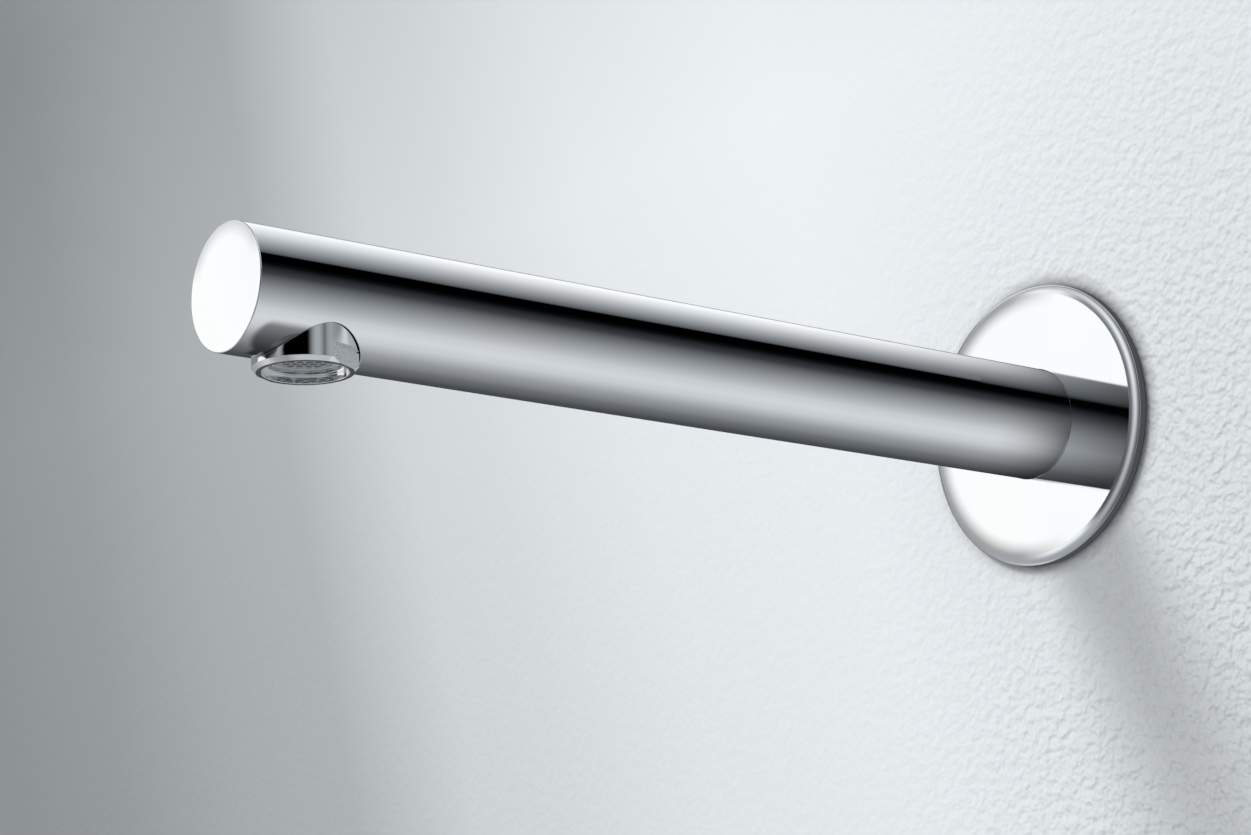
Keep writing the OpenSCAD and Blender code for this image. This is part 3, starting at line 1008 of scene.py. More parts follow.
@dataclass
class Flange:
    """The round cover plate at the wall, the ring that grips the tube and the foam gasket behind.

    Attributes:
        radius: outer radius of the plate.
        thickness: its thickness.
        bore: radius of its hole.
        slope: angle at which the rounded edge meets the rim, from the face.
        inset: how far in from the rim the flat face would end, were the edge a plain arc.
        arc: radius of that plain arc.
        groove: radius at the bottom of the grip ring's groove.
        groove_ends: where that groove begins and ends.
        recess: inner and outer radius of the gasket's recess.
        recess_depth: how deep the recess is.
        gasket: the foam gasket's ring.
        grip: inner and outer radius of the grip ring.
    """

    radius: float = 32.0
    thickness: float = 3.0
    bore: float = 12.55
    slope: float = 55.2
    inset: float = 2.3
    arc: float = 2.8
    groove: float = 13.85
    groove_ends: tuple[float, float] = (0.7, 2.3)
    recess: tuple[float, float] = (24.0, 30.0)
    recess_depth: float = 1.0
    gasket: Ring = (24.2, 29.8, 0.0, 1.0, 0.12)
    grip: tuple[float, float] = (12.525, 13.825)

    def plate(self) -> list[Patch]:
        """The plate's outline: bore with its ring groove, flat face, rounded edge, rim, and gasket recess.

        Returns:
            The patches; the rounded edge and its slope take the second finish.
        """
        lean = math.radians(self.slope)
        top = self.radius - self.inset + self.arc * math.tan(lean / 2)
        rim = self.thickness - math.tan(lean) * (self.radius - top)
        (low, high), (inner, outer) = self.groove_ends, self.recess
        return turned([
            Corner(self.bore, 0.0, 0.1), Corner(self.bore, low), Corner(self.groove, low, 0.3),
            Corner(self.groove, high, 0.3), Corner(self.bore, high), Corner(self.bore, self.thickness, 0.03),
            Corner(top, self.thickness, EDGE_ROUND, finish=1), Corner(self.radius, rim, 0.3),
            Corner(self.radius, 0.0, 0.1), Corner(outer, 0.0, 0.1), Corner(outer, self.recess_depth, 0.2),
            Corner(inner, self.recess_depth, 0.2), Corner(inner, 0.0, 0.1),
        ])

    def build(self, shop: Workshop) -> None:
        """Makes the plate, ring and gasket.

        Args:
            shop: where pieces are made.
        """
        shop.piece("cover_plate", self.plate(), "flange", "chrome_flange", "wall_flange", CHROME, EDGE)
        half, middle = (self.grip[1] - self.grip[0]) / 2, self.thickness / 2
        shop.piece("grip_ring", turned(ring(*self.grip, middle - half, middle + half, half)), "flange",
                   "seal_rubber", "flange_friction_ring", RUBBER)
        shop.piece("foam_gasket", turned(ring(*self.gasket)), "flange", "foam", "flange_gasket", FOAM)


@dataclass
class AeratorWasher:
    """The rubber washer between the aerator and its seat.

    Attributes:
        washer: its ring.
    """

    washer: Ring = (7.0, 8.9, -0.6, 0.9, 0.2)

    def build(self, shop: Workshop) -> None:
        """Makes the washer."""
        shop.piece("aerator_seal", turned(ring(*self.washer), Axis.OUTLET, FINE_TURNS), "aerator_washer",
                   "seal_rubber", "aerator_washer", RUBBER)


@dataclass
class Aerator:
    """The aerator: its chromed housing with two wrench flats, and the cartridge inside.

    Attributes:
        foot: height of the mouth's rim.
        bevel: height where the rim's bevel ends.
        rim: radius of the rim's flat face.
        mouth: radius of the mouth.
        mouth_edge: radius of its eased edge.
        flat: distance from the axis to each wrench flat.
        flat_top: height of the ledge over each flat.
        flat_turn: direction that the first flat faces, as a fraction of a turn.
        columns: steps across a flat.
        arc_steps: steps round the stretch between two flats.
        neck: height where the head ends and the thread begins.
        top: height of the housing's top.
        chamber: radius of the bore that holds the cartridge.
        lip: radius of the lip that the cartridge sits on.
        lip_ends: heights of the lip's two faces.
        thread: the thread that screws it into the spout.
    """

    foot: float = -14.24
    bevel: float = -13.4
    rim: float = 9.3
    mouth: float = 8.3
    mouth_edge: float = 0.15
    flat: float = 9.0
    flat_top: float = -10.55
    flat_turn: float = 26.5 / 360
    columns: int = 12
    arc_steps: int = 72
    neck: float = -5.7
    top: float = -0.6
    chamber: float = 7.75
    lip: float = 7.1
    lip_ends: tuple[float, float] = (-11.84, -12.84)
    thread: Thread = Thread(9.25, 1.0, 0.6)

    def __post_init__(self) -> None:
        """Works out half the flat's angle at the head's full radius, as a fraction of a turn."""
        self.half = math.acos(self.flat / COLLAR) / 2 / math.pi

    def turns(self) -> np.ndarray:
        """Places round the head: evenly across each flat and evenly across each stretch between."""
        flat = np.linspace(-self.half, self.half, self.columns + 1)
        once = np.r_[flat, np.linspace(self.half, 0.5 - self.half, self.arc_steps + 1)[1:]]
        return self.flat_turn + np.r_[once, 0.5 + once[1:]]

    def clipped(self, stroke: Stroke) -> list[Patch]:
        """Turns a stroke of the head and cuts it at the flats.

        Where the radius passes the flat's distance, half the flat's angle is the angle whose cosine is that
        distance over the radius; inside it, the angle opens again evenly down to the mouth's edge.

        Args:
            stroke: the stroke, below the flats' ledge.

        Returns:
            Two arcs and two flats.
        """
        radius, along = stroke.places[:, :1], stroke.places[:, 1:]
        outside = np.arccos(np.clip(self.flat / radius, -1.0, 1.0)) / 2 / np.pi
        inside = self.half * (self.flat - radius) / (self.flat - self.mouth - self.mouth_edge)
        width = np.where(radius >= self.flat, outside, inside)
        share = np.linspace(0.0, 1.0, self.arc_steps + 1)[None, :]
        across = np.linspace(-1.0, 1.0, self.columns + 1)[None, :]
        made = []
        for side in (0.0, 0.5):
            middle = self.flat_turn + side
            made.append(revolve(stroke, Axis.OUTLET, middle + width + share * (0.5 - 2 * width)))
            turn = middle + width * across
            if radius.min() < self.flat - 1e-6:
                made.append(revolve(stroke, Axis.OUTLET, turn))
            elif np.ptp(along) > 1e-6:
                reach = self.flat / np.cos(2 * np.pi * width * across)
                facing = pointing(Axis.OUTLET, 1.0, 0.0, middle + 0 * turn)
                made.append(Patch(placed(Axis.OUTLET, reach, along, turn), facing, 1))
        return made

    def ledges(self) -> list[Patch]:
        """The crescent over each flat, from its straight edge out to the head's circle.

        Returns:
            The two patches.
        """
        across = np.linspace(-self.half, self.half, self.columns + 1)[None, :]
        share = np.array([[0.0], [1.0]])
        near = self.flat / np.cos(2 * np.pi * across)
        made = []
        for side in (0.0, 0.5):
            turn = self.flat_turn + side + across + 0 * share
            points = placed(Axis.OUTLET, near + (COLLAR - near) * share, self.flat_top, turn)
            made.append(Patch(points, pointing(Axis.OUTLET, 0.0, -1.0, turn), 1))
        return made

    def housing(self) -> list[Patch]:
        """The housing's outline: mouth, rim, bevel, head, thread, and the bore down to the lip.

        Returns:
            The patches; the wrench flats and their ledges take the second finish.
        """
        root, (seat, under) = self.thread.root, self.lip_ends
        outline = [
            Corner(self.mouth, self.foot, self.mouth_edge), Corner(self.flat, self.foot),
            Corner(self.rim, self.foot, 0.08), Corner(COLLAR, self.bevel, 0.12),
            Corner(COLLAR, self.flat_top), Corner(COLLAR, self.neck, 0.15),
            Corner(root, self.neck, thread=self.thread), Corner(root, self.top),
            Corner(self.chamber, self.top, 0.1), Corner(self.chamber, seat), Corner(self.lip, seat, 0.1),
            Corner(self.lip, under, 0.1), Corner(self.mouth, under, 0.1),
        ]
        turns, made = self.turns(), self.ledges()
        for stroke in strokes(outline):
            low, high = stroke.places[:, 1].min(), stroke.places[:, 1].max()
            outer = stroke.places[:, 0].min() > self.mouth + 0.14 and stroke.facing[:, 0].min() > -1e-6
            if stroke.corner.radius == self.flat and len(stroke.places) == 2:
                far = stroke.places[1, 0]
                width = math.acos(self.flat / far) * np.arange(self.columns // 2 + 1) / (self.columns // 2)
                places = np.c_[self.flat / np.cos(width), np.full(len(width), self.foot)]
                stroke = Stroke(places, np.tile([0.0, -1.0], (len(width), 1)), stroke.corner)
            if high <= self.flat_top + 1e-6 and outer and low < self.flat_top:
                made += self.clipped(stroke)
            else:
                made.append(carried(stroke, Axis.OUTLET, turns))
        return made

    def build(self, shop: Workshop) -> None:
        """Makes the housing and finishes the cartridge's solids.

        Args:
            shop: where pieces are made.
        """
        shop.piece("aerator_head", self.housing(), "aerator", "chrome_aerator", "aerator_housing", CHROME,
                   MILLED)
        for node, finish in (
            ("cartridge_sleeve", ACETAL), ("honeycomb_outlet", COMB), ("lower_mesh_screen", WIRE),
            ("upper_mesh_screen", WIRE), ("jet_plate", ACETAL), ("flow_regulator", GREEN),
            ("regulator_ring", RUBBER), ("dome_screen", ACETAL),
        ):
            shop.dress(node, finish)


@dataclass
class Studio:
    """Backdrop, floor, soft lamps and the surround that the chrome mirrors.

    The surround is a tent of pale cards round the spout's axis with one black card in it. The cards run along
    the spout, so each is a range of angles about that axis, from +X towards +Z.

    Attributes:
        rear_cards: angle and grey level of the cards on the wall's side, which the tube mirrors.
        side_cards: the same for the cards straight beside the spout.
        front_cards: the same for the cards in front, which the tube's own image in the flange mirrors.
        near_cards: how far to the right, from -1 to 1, and grey level of the cards by the spout's line.
        edges: the direction's y where the front, the side and the rear cards begin to show and are full.
        calm: where the even grey straight at the wall begins and is full, and its level.
        collar_cards: the angle on the outlet's collar, from +X towards +Y, and grey level of what it mirrors.
        backdrop_greys_and_shade: how far to the right of the spout, in millimetres, and the backdrop's colour
            there: its pale
        paint, greyed towards the left by painted shade.
        edge_ends: the angles round the flange, from +X towards +Z, that the rounded edge's card runs between.
        gain: light from a white card, which makes up for what the plate takes.
        plate: distance from the wall's face to the flange's.
        sheet_at: distance from the wall's face to the card that shades the spout's image in the flange.
        eye: where the camera stands, in metres.
    """

    rear_cards: Marks = (
        (-180, 66), (-160, 76), (-130, 110), (-100, 158), (-76, 205), (-60, 216), (-44, 206), (-25, 172),
        (0, 118), (16, 60), (31, 14), (38, 0), (52.5, 0), (54, 88), (64, 130), (80, 176), (100, 220),
        (120, 243), (133, 250), (139, 240), (147, 150), (160, 90), (180, 66),
    )
    side_cards: Marks = (
        (-180, 154), (-165, 160), (-145, 192), (-133, 206), (-118, 165), (-95, 150), (-80, 190), (-68, 190),
        (-54, 132), (-21, 146), (0, 158), (18, 164), (42, 190), (62, 218), (76, 216), (90, 160), (107, 138),
        (120, 168), (134, 186), (150, 172), (166, 126), (172, 138), (180, 154),
    )
    front_cards: Marks = (
        (-180, 67), (-155, 74), (-123, 100), (-91, 144), (-59, 173), (-27, 148), (5, 87), (20, 51), (31, 14),
        (38, 0), (52.5, 0), (54, 67), (64, 101), (85, 129), (117, 153), (141, 173), (166, 123), (180, 67),
    )
    near_cards: Marks = (
        (-1.0, 120), (-0.5, 122), (-0.3, 130), (-0.1, 144), (0.1, 164), (0.25, 188), (0.4, 210), (0.7, 206),
    )
    edges: Marks = ((-0.985, -0.95), (-0.67, -0.62), (0.42, 0.48))
    calm: tuple[float, float, float] = (0.73, 0.8, 178)
    collar_cards: Marks = (
        (-30.5, 0), (-29, 14), (-27, 90), (-24, 142), (-21, 166), (-17, 165), (-14, 138), (-11.5, 108),
        (-10, 124), (-8, 148), (-4, 160), (0, 146), (5, 138), (12, 140), (27, 136),
    )
    backdrop_greys_and_shade: tuple[tuple[float, str], ...] = (
        (-500, "878B8C"), (-430, "8F9495"), (-360, "9FA4A6"), (-300, "A7ACAE"), (-270, "B8BDBF"),
        (-240, "C7CBCE"), (-200, "CDD1D3"), (-140, "DADFE1"), (-60, "E3E7EA"), (20, "E1E5E8"), (80, "DEE2E5"),
    )
    edge_ends: tuple[float, float] = (-128.0, 92.0)
    gain: float = 1.2
    plate: float = 3.0
    sheet_at: float = 43.0
    eye: np.ndarray = field(default_factory=lambda: np.array(View().spot))

    def surround(self) -> None:
        """Paints the world: by direction for mirrors, and plain for everything else.

        Each row of cards takes over from the last as the direction's y grows: near, front, side and rear. A
        white soft box stands to the left, and straight at the wall all is an even grey.
        """
        world = bpy.data.worlds.new("studio_surround")
        bpy.context.scene.world = world
        world.use_nodes = True
        tree = world.node_tree
        tree.nodes.clear()
        way = add(tree, "ShaderNodeTexCoord").outputs["Generated"]
        x, y, z = add(tree, "ShaderNodeSeparateXYZ", {"Vector": way}).outputs
        angle, azimuth, tall = (
            add(tree, "ShaderNodeMath", links, operation=kind).outputs[0]
            for kind, links in (("ARCTAN2", {0: z, 1: x}), ("ARCTAN2", {0: y, 1: x}), ("ARCSINE", {0: z}))
        )
        turn, right = (
            add(tree, "ShaderNodeMapRange", {"Value": value}, {"From Min": -end, "From Max": end}).outputs[0]
            for value, end in ((angle, math.pi), (x, 1.0))
        )
        colour = self.cards(tree, right, self.near_cards, 1.0)
        for (start, end), marks in zip(self.edges, (self.front_cards, self.side_cards, self.rear_cards)):
            further = self.cards(tree, turn, marks, 180.0)
            colour = self.mix(tree, self.rise(tree, y, start, end), colour, further)
        box = self.window(tree, azimuth, (-154.0, -151.0), (-122.0, -129.0))
        height = self.window(tree, tall, (-42.0, -14.0), (42.0, 17.5))
        both = add(tree, "ShaderNodeMath", {0: box, 1: height}, operation="MULTIPLY").outputs[0]
        colour = self.mix(tree, both, colour, (1.0, 1.0, 1.0, 1.0))
        colour = self.mix(tree, self.rise(tree, y, *self.calm[:2]), colour, grey(self.calm[2]))
        mirrored = add(tree, "ShaderNodeBackground", {"Color": colour}, {"Strength": self.gain}).outputs[0]
        plain, seen = (
            add(tree, "ShaderNodeBackground", None, {"Color": linear(code), "Strength": power}).outputs[0]
            for code, power in (("E1E1E1", 0.92), ("D9DDDE", 1.0))
        )
        rays = add(tree, "ShaderNodeLightPath").outputs
        first = add(tree, "ShaderNodeMixShader", {0: rays["Is Glossy Ray"], 1: plain, 2: mirrored}).outputs[0]
        last = add(tree, "ShaderNodeMixShader", {0: rays["Is Camera Ray"], 1: first, 2: seen}).outputs[0]
        add(tree, "ShaderNodeOutputWorld", {"Surface": last})

    def cards(self, tree: Tree, place: Socket, marks: Marks, half: float) -> Socket:
        """A row of grey cards that run into each other, placed from minus half to half."""
        return stops(tree, place, [((at + half) / 2 / half, grey(level)) for at, level in marks])

    def rise(self, tree: Tree, value: Socket, start: float, end: float) -> Socket:
        """A smooth step from nought at the start to one at the end, which may come before the start."""
        return add(tree, "ShaderNodeMapRange", {"Value": value}, {"From Min": start, "From Max": end},
                   interpolation_type="SMOOTHSTEP").outputs["Result"]

    def mix(self, tree: Tree, share: Socket, first: Socket, second: Socket | Colour) -> Socket:
        """Mixes a colour with a share of a second one, which may be fixed."""
        fixed = isinstance(second, tuple)
        return add(tree, "ShaderNodeMix", {0: share, 6: first} if fixed else {0: share, 6: first, 7: second},
                   {7: second} if fixed else None, data_type="RGBA").outputs[2]

    def window(self, tree: Tree, angle: Socket, low: tuple[float, float],
               high: tuple[float, float]) -> Socket:
        """A soft-edged range of angles: one inside it and nought outside.

        Args:
            tree: the world's nodes.
            angle: the angle in radians.
            low: where it starts to rise and where it is full, in degrees.
            high: where it has gone and where it starts to fall, in degrees.

        Returns:
            The product of the two edges.
        """
        edges = [self.rise(tree, angle, math.radians(a), math.radians(b)) for a, b in (low, high)]
        return add(tree, "ShaderNodeMath", {0: edges[0], 1: edges[1]}, operation="MULTIPLY").outputs[0]

    def sheet(self, name: str, corners: list[tuple[float, float, float]], finish: Material) -> Thing:
        """A flat stage sheet that mirrors don't see.

        Args:
            name: its name.
            corners: its four corners, in metres.
            finish: its material.

        Returns:
            The sheet.
        """
        mesh = bpy.data.meshes.new(name)
        mesh.from_pydata(corners, [], [(0, 1, 2, 3)])
        mesh.materials.append(finish)
        made = stand(name, mesh)
        made.visible_glossy = False
        return made

    def backdrop(self) -> None:
        """The upright sheet at the wall's place: rough pale render with painted shade to the left, seen from
        the front.

        Its painted shade runs along a slightly leaning line, x plus a share of z. Its relief grows to the
        right and downwards. Painted shade dims it upwards, and painted light and shade make it a little
        lighter to the upper left and a little darker towards the lower right. Close to the flange painted
        contact shade darkens it with a power of the open share of the view within 4 mm, more so at the right.
        """
        made, tree = material("rough_painted_render")
        shader = tree.nodes["Principled BSDF"]
        shader.inputs["Roughness"].default_value = 0.9
        shader.inputs["Specular IOR Level"].default_value = 0.2
        place = add(tree, "ShaderNodeTexCoord").outputs["Object"]
        x, _, z = add(tree, "ShaderNodeSeparateXYZ", {"Vector": place}).outputs
        lean = add(tree, "ShaderNodeMath", {0: z, 2: x}, {1: 0.28}, operation="MULTIPLY_ADD").outputs[0]
        grain = add(tree, "ShaderNodeTexNoise", {"Vector": place},
                    {"Scale": 1 / (2.4 * MM), "Detail": 1.5, "Roughness": 0.5}).outputs["Fac"]
        # fade is painted shade that dims the render upwards
        across, near, low, fade, deep = (
            add(tree, "ShaderNodeMapRange", {"Value": value},
                dict(zip(("From Min", "From Max", "To Min", "To Max"), ends)),
                interpolation_type=kind).outputs["Result"]
            for value, kind, ends in (
                (lean, "LINEAR", (-0.5, 0.08, 0.0, 1.0)), (x, "SMOOTHSTEP", (-0.07, 0.055, 0.12, 1.0)),
                (z, "LINEAR", (-0.07, 0.11, 1.5, 0.3)), (z, "LINEAR", (0.1, 0.24, 0.965, 0.74)),
                (x, "LINEAR", (-0.03, 0.033, 0.8, 2.4)))
        )
        # painted shade: these greys darken the render towards the left
        shade = stops(tree, across, [((at + 500) / 580, linear(code)) for at, code in self.backdrop_greys_and_shade])
        share = add(tree, "ShaderNodeMath", {0: near, 1: low}, operation="MULTIPLY").outputs[0]
        # painted light and shade: a little lighter to the upper left, a little darker towards the lower right
        shade_to_lower_right = add(tree, "ShaderNodeMapRange", {"Value": share}, {"To Min": 1.05, "To Max": 0.97},
                   clamp=False).outputs["Result"]
        # painted contact shade: the open share of the view within 4 mm, raised to a power that grows to the
        # right, darkens the render beside the flange
        open_view = add(tree, "ShaderNodeAmbientOcclusion", None, {"Distance": 4 * MM},
                        samples=16).outputs["AO"]
        contact_shade = add(tree, "ShaderNodeMath", {0: open_view, 1: deep}, operation="POWER").outputs[0]
        light = add(tree, "ShaderNodeMath", {0: fade, 1: shade_to_lower_right}, operation="MULTIPLY").outputs[0]
        light = add(tree, "ShaderNodeMath", {0: light, 1: contact_shade}, operation="MULTIPLY").outputs[0]
        paint = add(tree, "ShaderNodeVectorMath", {0: shade, 3: light}, operation="SCALE").outputs["Vector"]
        tree.links.new(paint, shader.inputs["Base Color"])
        height = add(tree, "ShaderNodeMath", {0: grain, 1: share}, operation="MULTIPLY").outputs[0]
        bump = add(tree, "ShaderNodeBump", {"Height": height}, {"Distance": 1.5 * MM, "Strength": 0.9})
        tree.links.new(bump.outputs["Normal"], shader.inputs["Normal"])
        mixed = self.one_sided(tree, shader.outputs[0])
        tree.links.new(mixed, tree.nodes["Material Output"].inputs["Surface"])
        y = 0.0001
        self.sheet("backdrop", [(-3.0, y, -1.25), (3.0, y, -1.25), (3.0, y, 2.5), (-3.0, y, 2.5)], made)

    def one_sided(self, tree: Tree, front: Socket) -> Socket:
        """A shader seen from the front only.

        Args:
            tree: the material's nodes.
            front: the shader.

        Returns:
            The shader on the front and nothing on the back.
        """
        clear = add(tree, "ShaderNodeBsdfTransparent").outputs[0]
        back = add(tree, "ShaderNodeNewGeometry").outputs["Backfacing"]
        return add(tree, "ShaderNodeMixShader", {0: back, 1: front, 2: clear}).outputs[0]

    def card(self, made: Thing) -> None:
        """Lets only mirrors see a stage sheet."""
        made.visible_glossy = True
        made.visible_camera = made.visible_diffuse = made.visible_shadow = made.visible_transmission = False

    def bounce(self, mirror: Patch, eye: np.ndarray) -> np.ndarray:
        """Where sight lines go on: each turns back by twice its part along the mirror's direction.

        Args:
            mirror: the mirror's places and directions.
            eye: where it is looked at from, in metres.

        Returns:
            Unit directions.
        """
        ray = mirror.points - eye
        ray /= np.linalg.norm(ray, axis=-1, keepdims=True)
        return ray - 2 * np.sum(ray * mirror.facing, axis=-1, keepdims=True) * mirror.facing

    def mirror_card(self, name: str, mirror: Patch, across: int, plane: float, light: np.ndarray,
                    eye: np.ndarray | None = None) -> None:
        """A card laid where a mirror's sight lines cross a plane.

        Where a sight line runs nearly along the plane, or away from it, the card ends. The card faces the
        mirror and lets light through from behind.

        Args:
            name: the card's name.
            mirror: a grid of places and directions on the mirror.
            across: number of the axis that the plane lies square to.
            plane: the plane's place on that axis, in millimetres.
            light: the card's linear light for each spot: red, green, blue, and how solid it is.
            eye: where the mirror is looked at from, where that isn't the camera.
        """
        back = self.bounce(mirror, self.eye if eye is None else eye)
        off = plane * MM - mirror.points[..., across]
        reach = mirror.points + back * (off / back[..., across])[..., None]
        toward = math.copysign(1.0, off.mean())
        quads = cells(*reach.shape[:2])
        quads = quads[(back[..., across].ravel()[quads] * toward > 0.12).all(axis=1)]
        flat = reach.reshape(-1, 3)[quads]
        turns = np.cross(flat[:, 1] - flat[:, 0], flat[:, 3] - flat[:, 0])[:, across]
        self.lit_card(name, reach, quads if turns.sum() * toward < 0 else quads[:, ::-1], light)

    def lit_card(self, name: str, points: np.ndarray, quads: np.ndarray, light: np.ndarray) -> None:
        """A card that gives its own light, which only mirrors see.

        Args:
            name: its name.
            points: its points, in metres.
            quads: its faces.
            light: the light at each point: red, green, blue, and how solid the card is.
        """
        mesh = bpy.data.meshes.new(name)
        mesh.from_pydata(points.reshape(-1, 3).tolist(), [], quads.tolist())
        mesh.color_attributes.new("light", "FLOAT_COLOR", "POINT").data.foreach_set("color", light.ravel())
        mesh.materials.append(bpy.data.materials.get("card_light") or self.card_light())
        made = stand(name, mesh)
        self.card(made)

    def card_light(self) -> Material:
        """Light from a card as its light attribute says, from its front only.

        Returns:
            The material.
        """
        made, tree = material("card_light", bare=True)
        light = add(tree, "ShaderNodeVertexColor", layer_name="light").outputs
        glow = add(tree, "ShaderNodeEmission", {"Color": light["Color"]}, {"Strength": self.gain}).outputs[0]
        clear = add(tree, "ShaderNodeBsdfTransparent").outputs[0]
        solid = add(tree, "ShaderNodeMixShader", {0: light["Alpha"], 1: clear, 2: glow}).outputs[0]
        add(tree, "ShaderNodeOutputMaterial", {"Surface": self.one_sided(tree, solid)})
        return made

    def shaded(self, marks: Marks, at: np.ndarray, share: Numbers, solid: Numbers) -> np.ndarray:
        """Light of a row of grey cards.

        Args:
            marks: each card's place in the row and its grey level.
            at: the places where it is wanted.
            share: what it is multiplied by.
            solid: how solid the card is.

        Returns:
            Red, green, blue and solidity for each place.
        """
        places, greys = [mark[0] for mark in marks], np.array([grey(mark[1]) for mark in marks])
        tint = [np.interp(at, places, greys[:, c]) * share for c in range(3)]
        return np.stack([*tint, np.broadcast_to(solid, tint[0].shape)], axis=-1)

    def tube_cards(self) -> None:
        """The cards that darken the tube towards the wall and in its own image in the flange.

        From the joint out, the lower cards' light rises along a curve of power 1.6 over 23 mm, and the upper
        cards' over some 36 mm of exponential rise. In the flange's image it falls by two fifths in 15 mm.
        """
        image = self.eye * [1, -1, 1] - [0, 2 * self.plate * MM, 0]
        for name, lines, places, plane in (
            ("flange_shade", (-107.0, 69.0), (self.plate + 0.25, 30.0), -self.plate - 0.2),
            ("wall_shade", (18.0, 69.0), (28.0, 118.0), 0.2),
            ("image_shade", (-91.0, 55.0), (self.plate + 0.1, 34.0), -self.sheet_at),
        ):
            eye = image if name == "image_shade" else self.eye
            turn, along = np.linspace(*lines, 89)[:, None] / 360, np.linspace(*places, 41)[None, :]
            mirror = Patch(placed(Axis.SPOUT, TUBE, along, turn), pointing(Axis.SPOUT, 1.0, 0.0, turn))
            back = self.bounce(mirror, eye)
            angle = np.degrees(np.arctan2(back[..., 2], back[..., 0]))
            off = along - self.plate
            low = 0.2 + 0.8 * (1 - (1 - np.clip(off / 23, 0, 1)) ** 1.6)
            high = 1 - 0.8 * np.exp(-off / 36) * np.clip(1 - off / 115, 0, 1)
            part = 1 - np.clip((angle + 50) / 85, 0, 1) ** 2.5
            share, marks, solid = np.where(angle > 45, high, 1 - part * (1 - low)), self.rear_cards, 1.0
            if name == "wall_shade":
                solid = np.clip((angle - 59) / 7, 0, 1)
            if name == "image_shade":
                share, marks = 1 - 0.4 * np.clip(off / 15, 0, 1.3), self.front_cards
            self.mirror_card(name, mirror, 1, plane, self.shaded(marks, angle, share, solid), eye)

    def soft_edge(self, name: str, out: float, radii: tuple[float, float], edge: tuple[float, float],
                  angles: tuple[float, float], depth: float, away: float) -> None:
        """A card that greys the mirror image of the soft light towards the edge of a round face.

        The grey deepens with the power 1.3 of the way to where the face's rounding begins, then stays.

        Args:
            name: the card's name.
            out: the face's place along the spout.
            radii: where the grey begins and where the face turns into its rounding.
            edge: radius of that rounding, and how far the card follows it, in degrees.
            angles: the stretch of the edge, from +X towards +Z, in degrees.
            depth: share of the light that is gone at the end.
            away: distance from the face to the card.
        """
        along = np.linspace(0.0, 1.0, 97)[:, None]
        turn = (angles[0] + (angles[1] - angles[0]) * along) / 360
        lean = np.radians(np.r_[np.zeros(20), np.linspace(0.0, edge[1], 9)])[None, :]
        radius = np.r_[np.linspace(*radii, 21)[:-1], radii[1] + edge[0] * np.sin(lean[0, 20:])][None, :]
        mirror = Patch(placed(Axis.SPOUT, radius, out - edge[0] * (1 - np.cos(lean)), turn),
                       pointing(Axis.SPOUT, np.sin(lean), np.cos(lean), turn))
        ends = np.clip(2.5 * np.sin(np.pi * along), 0, 1)
        share = 1 - depth * ends * np.clip((radius - radii[0]) / (radii[1] - radii[0]), 0, 1) ** 1.3
        light = np.stack([share, share, share, 1 + 0 * share], axis=-1)
        self.mirror_card(name, mirror, 1, -out - away, light)

    def edge_card(self) -> None:
        """The card that the flange's rounded edge mirrors on the right: a light band between two dark ones.

        The band is a squared cosine of the edge's lean, brightest 25 degrees above the right, with a bell
        45 degrees wide. The greys by the face and by the rim fall to dark between soft steps at the right.
        """
        start, end = self.edge_ends
        angle, lean = np.linspace(start, end, 121)[:, None], np.linspace(0.5, 62.0, 41)[None, :]
        tilt, turn = np.radians(lean), angle / 360
        radius, along = FACE_END + EDGE_ROUND * np.sin(tilt), self.plate - EDGE_ROUND * (1 - np.cos(tilt))
        mirror = Patch(placed(Axis.SPOUT, radius, along, turn),
                       pointing(Axis.SPOUT, np.sin(tilt), np.cos(tilt), turn))
        right = soft_step(angle, -66, -46) * soft_step(angle, 70, 50)
        inner = (162 + 80 * soft_step(angle, -104, -80)) * (1 - right) + (105 + 0.55 * angle) * right
        middle = 165 + 73 * np.exp(-((angle - 25) / 45) ** 2)
        place = (lean - 33) / 24
        band = np.cos(np.clip(place, -1, 1) * np.pi / 2) ** 2
        level = np.where(place < 0, inner, 154 - 70 * right) * (1 - band) + middle * band
        solid = np.clip((angle - start) / 12, 0, 1) * np.clip((end - angle) / 12, 0, 1)
        every_grey = tuple((v, v) for v in range(0, 256, 15))
        self.mirror_card("edge_card", mirror, 1, -12.0, self.shaded(every_grey, level, 1.0, solid))

    def rim_shade_card(self) -> None:
        """Painted shade: a dark flat ring on the wall, standing in for the wall's contact shade, which the
        flange's rim mirrors.
        """
        turn, radius = np.linspace(-0.5, 0.5, 145)[:, None], np.linspace(31.0, 35.9, 3)[None, :]
        points = placed(Axis.SPOUT, radius, -0.05, turn)
        light = np.full((*points.shape[:2], 4), grey(78))
        self.lit_card("rim_shade_card", points, cells(*points.shape[:2])[:, ::-1], light)

    def collar_card(self) -> None:
        """The card beside and under the spout that the outlet's collar mirrors, with a brighter low spot."""
        angle, height = np.linspace(-32.0, 25.0, 90)[:, None], np.linspace(-13.6, -5.5, 25)[None, :]
        mirror = Patch(placed(Axis.OUTLET, COLLAR, height, angle / 360),
                       pointing(Axis.OUTLET, 1.0, 0.0, angle / 360))
        glint = np.exp(-((angle - 15) / (5 - 2 * (height + 8).clip(-3, 0))) ** 2)
        light = self.shaded(self.collar_cards, angle + 0 * height, 1.0, 1.0)
        light[..., :3] += (np.array(grey(207))[:3] - light[..., :3]) * glint[..., None]
        self.mirror_card("collar_card", mirror, 2, -3.0, light)

